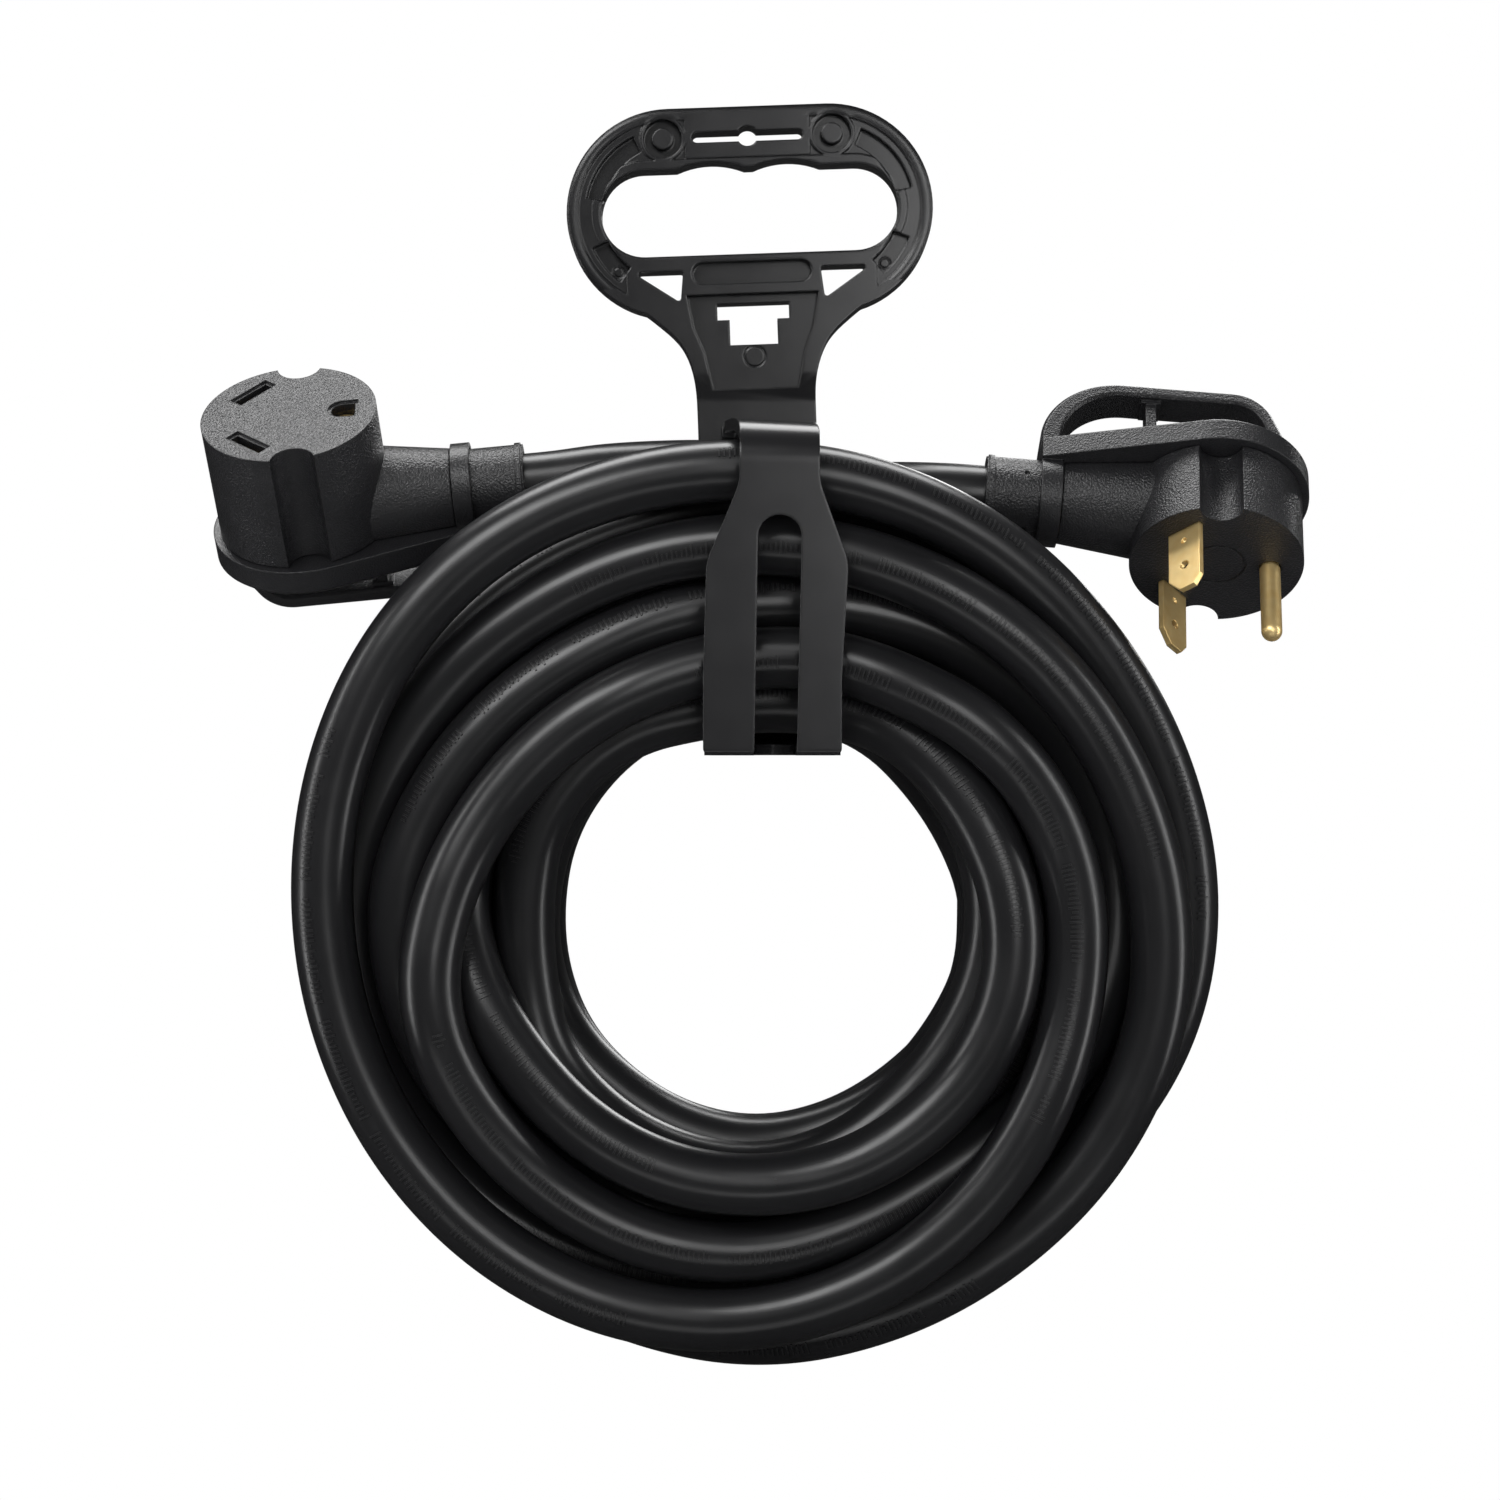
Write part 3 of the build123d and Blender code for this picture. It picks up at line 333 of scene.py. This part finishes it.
def grid_faces(bm, rows):
    for a, b in zip(rows, rows[1:]):
        for j in range(len(a) - 1):
            bm.faces.new((a[j], b[j], b[j + 1], a[j + 1]))


# ------------------------------------------------------- cable centre line
# Stations: angle about the Y axis from +X towards +Z (degrees), distance from it (mm), y (mm)
COIL = [
    (71.88, 119.82, 16.82), (89.98, 111.91, 20.53), (108.11, 110.39, 19.39), (126.18, 111.68, 15.92),
    (144.22, 113.21, 13.83), (162.26, 114.83, 13.87), (180.31, 116.64, 15.49), (198.32, 118.35, 16.80),
    (216.28, 119.80, 16.89), (234.18, 120.92, 15.04), (252.07, 121.83, 10.54), (270.00, 122.03, 2.91),
    (288.03, 119.44, -5.95), (306.14, 117.02, -12.45), (324.25, 115.76, -15.62), (342.32, 113.89, -16.67),
    (360.37, 109.65, -17.27), (378.39, 105.25, -18.20), (396.37, 101.90, -19.23), (414.29, 99.04, -19.72),
    (432.16, 97.48, -18.36), (450.02, 97.12, -16.12), (467.91, 98.12, -13.61), (485.86, 99.96, -10.77),
    (503.87, 103.84, -7.64), (521.91, 108.61, -4.35), (539.96, 112.35, -1.76), (557.99, 114.58, -0.55),
    (576.00, 115.11, -0.23), (593.99, 112.58, -0.61), (611.99, 108.17, -0.75), (630.00, 104.46, 0.61),
    (647.98, 103.92, 2.67), (665.96, 108.48, 3.13), (683.97, 115.43, 2.15), (702.00, 119.48, 0.18),
    (720.05, 119.46, -2.35), (738.10, 117.49, -5.18), (756.15, 116.20, -8.64), (774.16, 116.47, -12.84),
    (792.12, 116.72, -16.23), (810.02, 117.14, -17.26), (827.91, 118.71, -17.33), (845.82, 120.78, -17.31),
    (863.73, 121.21, -17.59), (881.67, 120.03, -18.15), (899.64, 118.71, -18.34), (917.66, 118.38, -17.93),
    (935.71, 118.59, -17.64), (953.78, 118.65, -17.43), (971.88, 117.48, -17.64), (989.98, 114.06, -18.83),
    (1008.12, 108.29, -20.80), (1026.29, 101.49, -22.56), (1044.43, 95.23, -22.31), (1062.49, 90.24, -20.08),
    (1080.53, 86.64, -19.71), (1098.60, 82.32, -22.02), (1116.62, 76.56, -24.36), (1134.48, 71.00, -23.30),
    (1152.24, 68.12, -19.56), (1170.03, 65.88, -18.55), (1187.81, 65.39, -19.71), (1205.59, 67.04, -21.53),
    (1223.45, 70.90, -21.50), (1241.38, 76.76, -21.81), (1259.33, 84.61, -24.34), (1277.36, 92.53, -26.30),
    (1295.53, 95.37, -22.78), (1313.71, 96.59, -19.08), (1331.85, 97.44, -17.13), (1349.98, 96.31, -15.21),
    (1368.08, 93.13, -11.57), (1386.11, 92.01, -7.51), (1404.09, 95.84, -4.52), (1422.05, 98.96, -2.26),
    (1440.02, 99.51, -0.92), (1458.03, 98.03, -1.09), (1476.06, 94.56, -2.74), (1494.08, 89.03, -5.11),
    (1512.07, 83.56, -7.45), (1530.01, 80.86, -9.04), (1547.92, 80.63, -10.62), (1565.81, 82.20, -12.03),
    (1583.74, 86.56, -12.41), (1601.70, 92.38, -12.54), (1619.70, 98.11, -12.54), (1637.78, 99.10, -9.73),
    (1655.90, 98.05, -5.01), (1674.00, 94.90, 0.20), (1692.04, 91.19, 4.68), (1710.01, 88.22, 7.62),
    (1727.94, 87.10, 8.91), (1745.85, 86.45, 9.76), (1763.80, 84.92, 9.47), (1781.82, 83.72, 6.85),
    (1799.86, 82.60, 4.77), (1817.87, 81.21, 4.81), (1835.83, 79.72, 6.96), (1853.82, 79.00, 9.51),
    (1871.90, 79.69, 9.86), (1889.99, 79.76, 8.68), (1908.06, 78.38, 6.99), (1926.08, 77.14, 4.98),
    (1944.07, 77.95, 3.11), (1962.02, 80.49, 0.69), (1979.86, 82.13, -4.82), (1997.62, 80.33, -13.42),
    (2015.53, 78.04, -18.87), (2033.60, 77.76, -21.03), (2051.76, 77.69, -22.33), (2069.97, 77.33, -22.72),
    (2088.18, 76.90, -22.28), (2106.37, 75.67, -21.73), (2124.52, 74.41, -21.35), (2142.65, 72.22, -21.29),
    (2160.69, 68.67, -20.38), (2178.62, 64.76, -17.89), (2196.43, 61.98, -13.68), (2214.23, 59.43, -9.28),
    (2232.09, 55.89, -6.37), (2250.01, 53.99, -5.43), (2267.93, 54.43, -5.74), (2285.86, 58.17, -6.13),
    (2303.82, 61.76, -6.23), (2321.80, 63.86, -5.79), (2339.86, 64.42, -3.90), (2357.95, 67.18, -1.54),
    (2375.95, 72.47, -1.99), (2393.93, 74.80, -3.53), (2411.95, 75.86, -4.68), (2429.99, 75.82, -5.05),
    (2448.04, 73.68, -4.83), (2466.09, 70.28, -4.83), (2484.13, 68.13, -4.76), (2502.14, 67.01, -4.34),
    (2520.10, 65.77, -2.90), (2538.00, 64.04, -0.01), (2555.86, 62.17, 4.42), (2573.80, 61.28, 8.55),
    (2591.86, 61.94, 10.29), (2609.98, 62.10, 10.34), (2628.11, 60.98, 10.72), (2646.25, 59.43, 11.56),
    (2664.35, 60.09, 11.42), (2682.42, 61.77, 11.87), (2700.52, 63.69, 14.07), (2718.55, 66.14, 16.15),
    (2736.44, 67.57, 15.07), (2754.28, 68.02, 12.87), (2772.14, 69.35, 11.83), (2790.02, 70.36, 11.83),
    (2807.89, 69.73, 12.46), (2825.76, 69.01, 12.87), (2843.65, 67.55, 12.98), (2861.56, 66.94, 13.39),
    (2879.47, 64.95, 14.81), (2897.34, 61.19, 17.74), (2915.26, 58.85, 22.25), (2933.34, 58.24, 26.15),
    (2951.60, 57.06, 27.34), (2969.95, 56.58, 27.19), (2988.30, 57.57, 28.11), (3006.64, 59.00, 29.29),
    (3024.89, 60.23, 29.16), (3043.06, 61.61, 29.69), (3061.19, 63.08, 32.05), (3079.17, 65.60, 33.86),
    (3096.94, 68.14, 32.80), (3114.64, 69.55, 30.55), (3132.34, 70.98, 29.50), (3150.05, 71.70, 29.52),
    (3167.74, 70.89, 30.16), (3185.44, 69.87, 30.59), (3203.20, 69.57, 30.60), (3221.00, 68.09, 31.08),
    (3238.85, 66.00, 32.50), (3256.87, 68.01, 34.09), (3275.15, 73.61, 32.08), (3293.44, 75.79, 28.80),
    (3311.70, 74.81, 26.93), (3329.96, 74.25, 25.58), (3348.20, 74.98, 24.43), (3366.38, 76.66, 22.75),
    (3384.49, 78.54, 20.86), (3402.51, 80.24, 18.70), (3420.48, 82.08, 16.73), (3438.43, 83.96, 15.83),
    (3456.38, 85.25, 16.56), (3474.32, 86.22, 19.05), (3492.21, 88.36, 22.58), (3510.03, 90.81, 25.08),
    (3527.83, 92.72, 25.70), (3545.65, 94.08, 25.76), (3563.52, 94.16, 24.70), (3581.48, 92.86, 22.19),
    (3599.49, 91.84, 19.99), (3617.53, 91.92, 18.96), (3635.60, 92.80, 18.89), (3653.70, 93.76, 19.27),
    (3671.83, 94.34, 19.83), (3689.98, 93.59, 19.83), (3708.13, 92.76, 18.98), (3726.25, 94.14, 18.37),
    (3744.35, 96.13, 18.44), (3762.43, 97.97, 19.04), (3780.47, 99.55, 19.81), (3798.46, 101.09, 20.43),
    (3816.39, 102.54, 20.52), (3834.28, 103.93, 19.92), (3852.15, 106.02, 19.16), (3870.02, 108.33, 18.98),
    (3887.89, 110.15, 19.65), (3905.76, 111.25, 20.53), (3923.67, 111.38, 20.28), (3941.62, 110.94, 19.24),
    (3959.62, 110.64, 17.83), (3977.68, 110.66, 15.54), (3995.80, 110.85, 11.53), (4013.92, 111.09, 5.75),
    (4031.99, 112.42, 0.98), (4050.00, 117.56, 3.70), (4068.04, 124.62, 7.94),
]
# The cable leaves each end piece straight, from CABLE_START to its reach (mm from the origin)
MALE_ORIGIN, MALE_TILT, MALE_REACH = Vector((129.4, 15.0, 107.5)), math.radians(4.5), 69.0
FEMALE_ORIGIN, FEMALE_TILT, FEMALE_REACH = Vector((-126.8, 8.0, 109.6)), math.radians(5.4), 66.0
CABLE_START = 34.0
LINE_STEP = 2.6
CABLE_RADIUS = 8.5
FRONT = Vector((0, -1, 0))


def tangent_at(points, i):
    if 4 <= i <= len(points) - 5:
        d = points[i + 1] * 8 - points[i + 2] - points[i - 1] * 8 + points[i - 2]
    else:
        before, after = points[i] - points[i - 1], points[i + 1] - points[i]
        d = before * (after.length / before.length) + after * (before.length / after.length)
    return d.normalized()


def arc_points(start, tangent, end):
    """(point, tangent) pairs on the arc that leaves start along tangent; end is left out."""
    chord = end - start
    side = chord - tangent * chord.dot(tangent)
    if side.length < 1e-6 * chord.length:
        n = max(2, int(chord.length / LINE_STEP))
        return [(start + chord * (i / n), tangent) for i in range(n)]
    inward = side.normalized()
    radius = chord.dot(chord) / (2 * chord.dot(inward))
    sweep = 2 * math.asin(min(1.0, chord.length / (2 * radius)))
    n = max(2, int(radius * sweep / LINE_STEP))
    out = []
    for i in range(n):
        angle = sweep * i / n
        sin, cos = math.sin(angle), math.cos(angle)
        point = start + inward * radius + (tangent * sin - inward * cos) * radius
        out.append((point, tangent * cos + inward * sin))
    return out


def biarc(p0, t0, p1, t1):
    """Two arcs that meet smoothly between two stations."""
    chord = p1 - p0
    a = 2 * (1 - t0.dot(t1))
    if a < 1e-10:
        return arc_points(p0, t0, p1)
    b = chord.dot(t0 + t1)
    d = (-b + math.sqrt(b * b + a * chord.dot(chord))) / a
    q0, q1 = p0 + t0 * d, p1 - t1 * d
    middle = (q0 + q1) * 0.5
    return arc_points(p0, t0, middle) + arc_points(middle, (q1 - q0).normalized(), p1)


def centre_line():
    male = Vector((-math.cos(MALE_TILT), 0, math.sin(MALE_TILT)))
    female = Vector((math.cos(FEMALE_TILT), 0, math.sin(FEMALE_TILT)))
    points = [MALE_ORIGIN + male * CABLE_START, MALE_ORIGIN + male * MALE_REACH]
    for degrees, r, y in COIL:
        angle = math.radians(degrees)
        points.append(Vector((r * math.cos(angle), y, r * math.sin(angle))))
    points += [FEMALE_ORIGIN + female * FEMALE_REACH, FEMALE_ORIGIN + female * CABLE_START]
    tangents = [male, male]
    tangents += [tangent_at(points, i) for i in range(2, len(points) - 2)]
    tangents += [-female, -female]
    line = []
    for station in zip(points, tangents, points[1:], tangents[1:]):
        line += biarc(*station)
    line.append((points[-1], tangents[-1]))
    return line


def cable_frames():
    """Length so far, point, and two directions across the cable, the first to the front."""
    frames, length, previous = [], 0.0, None
    for p, t in centre_line():
        if previous is not None:
            length += (p - previous).length
        previous = p
        e1 = (FRONT - t * FRONT.dot(t)).normalized()
        frames.append((length, p, e1, t.cross(e1)))
    return frames


FRAMES = cable_frames()


def on_cable(p, e1, e2, angle, radius):
    return (p + (e1 * math.cos(angle) + e2 * math.sin(angle)) * radius) * MM


def build_cable(sides=32):
    bm = bmesh.new()
    uv_layer = bm.loops.layers.uv.new("along")
    rings = []
    for length, p, e1, e2 in FRAMES:
        # the seam of the texture lies at the back
        angles = [2 * math.pi * (k / sides) + math.pi for k in range(sides)]
        ring = [bm.verts.new(on_cable(p, e1, e2, a, CABLE_RADIUS)) for a in angles]
        rings.append((ring, length * MM))
    for (r0, s0), (r1, s1) in zip(rings, rings[1:]):
        for k in range(sides):
            following = (k + 1) % sides
            face = bm.faces.new((r0[k], r0[following], r1[following], r1[k]))
            face.smooth = True
            v0, v1 = k / sides, (k + 1) / sides
            for loop, uv in zip(face.loops, ((s0, v0), (s0, v1), (s1, v1), (s1, v0))):
                loop[uv_layer].uv = uv
    bm.faces.new(list(reversed(rings[0][0])))
    bm.faces.new(rings[-1][0])
    solid("cable_skin", bm, CABLE, replaces="cable_jacket")


build_cable()

# -------------------------------------------- raised strokes along the jacket
STROKE_HEIGHT, STROKE_SINK = 0.30, 0.15            # mm above and below the jacket
STROKE_WIDTH, STROKE_SLOPE = 0.45, 0.10
STROKE_OFFSETS = (0.35, 1.75, 3.10)                # mm from the start of a cell
STROKE_REACH = 0.034                               # turns either side of the middle
STROKE_SCALES = (1.0, 0.72, 0.45)
STROKE_MESH = 0.8                                  # mm, largest cell size aimed at
CABLE_GIRTH = 53.4                                 # mm in one turn
CELL_PITCH = 4.1
BARE_END = 80                                      # mm without strokes at each end
GROUP_PITCH, GROUP_SHARE = 330.0, 0.60             # groups, and how much of each is marked
LENGTHS = [f[0] for f in FRAMES]


def place(s, turn, radius):
    """The point s mm along the cable and turn turns round it."""
    i = bisect_left(LENGTHS, s) - 1
    s0, p0, a0, b0 = FRAMES[i]
    s1, p1, a1, b1 = FRAMES[i + 1]
    k = (s - s0) / (s1 - s0)
    e1, e2 = a0.lerp(a1, k).normalized(), b0.lerp(b1, k).normalized()
    return on_cable(p0.lerp(p1, k), e1, e2, 2 * math.pi * turn, radius)


def stroke(bm, s0, s1, v0, v1):
    """A pad from s0 to s1 mm along and v0 to v1 turns round, with sloping sides."""
    nu = max(1, int((s1 - s0) / STROKE_MESH))
    nv = max(1, int((v1 - v0) * CABLE_GIRTH / STROKE_MESH))

    def vertex(i, j, slope, radius):
        ds, dv = slope, slope / CABLE_GIRTH
        s = (s0 - ds) + (s1 - s0 + 2 * ds) * i / nu
        v = (v0 - dv) + (v1 - v0 + 2 * dv) * j / nv
        return bm.verts.new(place(s, v, radius))

    top = [[vertex(i, j, 0.0, CABLE_RADIUS + STROKE_HEIGHT) for j in range(nv + 1)]
           for i in range(nu + 1)]
    border = [(i, 0) for i in range(nu + 1)] + [(nu, j) for j in range(1, nv + 1)]
    border += [(i, nv) for i in range(nu - 1, -1, -1)] + [(0, j) for j in range(nv - 1, 0, -1)]
    edge = [top[i][j] for i, j in border]
    low = [vertex(i, j, STROKE_SLOPE, CABLE_RADIUS - STROKE_SINK) for i, j in border]
    grid_faces(bm, top)
    n = len(edge)
    for i in range(n):
        bm.faces.new((edge[i], low[i], low[(i + 1) % n], edge[(i + 1) % n]))
    bm.faces.new(low)


def build_strokes():
    """Parallel ticks in groups; none touch or cross, so they never form a character."""
    bm = bmesh.new()
    rng = random.Random(41)
    last = int((LENGTHS[-1] - BARE_END) / CELL_PITCH)
    for cell in range(int(BARE_END / CELL_PITCH), last):
        s = cell * CELL_PITCH
        draws = [rng.random() for _ in STROKE_OFFSETS]
        # bare between groups, and at every eighth cell
        if (s / GROUP_PITCH) % 1.0 > GROUP_SHARE or (cell + 3) % 8 == 0:
            continue
        middle = 0.030 + 0.06 * math.sin(s * 0.0051)    # wanders slowly round the jacket
        for offset, draw in zip(STROKE_OFFSETS, draws):
            reach = STROKE_REACH * STROKE_SCALES[int(draw * 2.999)]
            start = s + offset
            stroke(bm, start, start + STROKE_WIDTH, middle - reach, middle + reach)
    solid("cable_strokes", bm, STROKE)


build_strokes()


# ------------------------------------------------ organiser with rounded edges
def rounded(source, name, body, material, width, warp=None):
    mesh = NODES[source].data.copy()
    obj = link_object(name, mesh)
    bm = bmesh.new()
    bm.from_mesh(mesh)
    bmesh.ops.remove_doubles(bm, verts=bm.verts, dist=2e-6)
    bmesh.ops.dissolve_limit(bm, angle_limit=math.radians(0.6), verts=bm.verts, edges=bm.edges)
    bm.to_mesh(mesh)
    bm.free()
    bevel = obj.modifiers.new("edge", "BEVEL")
    bevel.width = width
    bevel.segments = 3
    bevel.limit_method = "ANGLE"
    bevel.angle_limit = math.radians(32)
    depsgraph = bpy.context.evaluated_depsgraph_get()
    baked = bpy.data.meshes.new_from_object(obj.evaluated_get(depsgraph))
    obj.modifiers.clear()
    obj.data = baked
    baked.name = name
    if warp:
        for v in baked.vertices:
            v.co = warp(v.co.copy())
    for face in baked.polygons:
        face.use_smooth = True
    weighted = obj.modifiers.new("weighted", "WEIGHTED_NORMAL")
    weighted.keep_sharp = False
    weighted.weight = 80
    register(obj, material, body, replaces=source)


def clamp(value):
    return min(1.0, max(0.0, value))


def hook_set(p):
    """The strap end has taken a set: its hook leans to the left as it goes back."""
    hook_z, rise = 0.112, 0.016                    # the hook starts here; the lift grows over rise
    front_y, depth, lean = -0.0290, 0.0226, 0.0062
    right_x, width, lift = 0.0170, 0.0216, 0.0011
    k = clamp((p.y - front_y) / depth) if p.z > hook_z else 0.0
    k = k * k * (3 - 2 * k)
    raised = lift * clamp((p.z - hook_z) / rise) * clamp((right_x - p.x) / width)
    return Vector((p.x - lean * k, p.y, p.z + raised))


rounded("organiser_handle", "carry_handle", ROOT, HANDLE, width=0.00045)
rounded("organiser_front_strap", "hook_strap", "front_strap", ORGANISER, width=0.0005,
        warp=hook_set)

# Section (y, z) in mm of the webs of the strap's two legs, closing the hinge line
WEB_SECTION = [(-29.6, 39.55), (-28.6, 39.42), (-28.2, 39.42), (-28.2, 42.58),
               (-28.6, 42.58), (-29.6, 42.45), (-30.3, 41.0)]


def web(name, x0, x1, steps=12):
    bm = bmesh.new()
    columns = []
    for i in range(steps + 1):
        x = (x0 + (x1 - x0) * i / steps) * MM
        columns.append([bm.verts.new((x, y * MM, z * MM)) for y, z in WEB_SECTION])
    grid_faces(bm, [column + column[:1] for column in columns])
    bm.faces.new(columns[0])
    bm.faces.new(list(reversed(columns[-1])))
    solid(name, bm, ORGANISER)


web("strap_web_left", x0=-14.3, x1=-1.1)
web("strap_web_right", x0=10.8, x1=22.5)


# ------------------------------------------------------------------ stage
def floor_material():
    g = Graph("floor_white")
    base = g.colour(g.noise(g.object_coords(), scale=3.0),
                    low=(0.90, 0.90, 0.90), high=(0.93, 0.93, 0.93))
    return g.finish(Base_Color=base, Roughness=0.9, Specular_IOR_Level=0.0,
                    Emission_Color=(1, 1, 1, 1), Emission_Strength=0.42)


def studio_floor(span=14.0, cells=14, z=-0.1312):
    """A wide pale floor that lights the coil from below, unseen by the camera."""
    bm = bmesh.new()
    steps = [-span / 2 + span * i / cells for i in range(cells + 1)]
    grid_faces(bm, [[bm.verts.new((x, y, z)) for y in steps] for x in steps])
    floor = mesh_object("studio_floor", bm)
    paint(floor, floor_material())
    floor.visible_glossy = False
    floor.visible_camera = False
    floor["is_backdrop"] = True


studio_floor()

LIGHT_TARGET = Vector((0.0, 0.0, 0.03))
# name, location, size, size_y, power in watts
LIGHTS = (
    ("key_top_left", (-0.50, -0.95, 0.80), 0.7, 0.40, 8.5),
    ("front_fill", (0.30, -1.30, 0.35), 0.35, 0.5, 3.4),
    ("side_right", (1.1, -0.30, 0.15), 0.16, 1.2, 5.0),
    ("side_left", (-1.1, -0.25, 0.15), 0.16, 1.2, 5.0),
    ("rim_top", (-0.05, 0.28, 1.1), 1.3, 0.45, 17),
    ("low_front", (0.0, -0.9, -0.60), 1.2, 0.15, 1.2),
    ("back_fill", (0.55, 1.25, 0.65), 0.7, 0.5, 6.0),
)
for name, location, size, size_y, power in LIGHTS:
    light = bpy.data.lights.new(name, "AREA")
    light.shape = "RECTANGLE"
    light.size, light.size_y, light.energy = size, size_y, power
    lamp = link_object(name, light)
    lamp.location = location
    aim = LIGHT_TARGET - Vector(location)
    lamp.rotation_euler = aim.to_track_quat("-Z", "Y").to_euler()


def studio_world():
    """Even white light, dim in reflections and plain white to the camera."""
    world = bpy.data.worlds.new("studio")
    scene.world = world
    world.use_nodes = True
    tree = world.node_tree
    background = tree.nodes["Background"]
    background.inputs[0].default_value = (1, 1, 1, 1)
    rays = tree.nodes.new("ShaderNodeLightPath").outputs
    lighting = map_range(tree, rays["Is Glossy Ray"], low=0.75, high=0.03)
    strength = map_range(tree, rays["Is Camera Ray"], low=lighting, high=1.0)
    tree.links.new(strength, background.inputs[1])


def front_camera():
    data = bpy.data.cameras.new("camera")
    data.sensor_width = 36.0
    data.lens = 86.3
    data.clip_start, data.clip_end = 0.05, 20
    camera = link_object("camera", data)
    camera.location = (-1.946 * MM, -1000 * MM, 40.87 * MM)
    camera.rotation_euler = (math.radians(90), 0, 0)
    scene.camera = camera


studio_world()
front_camera()

record_bounds(SIZE, "finished")
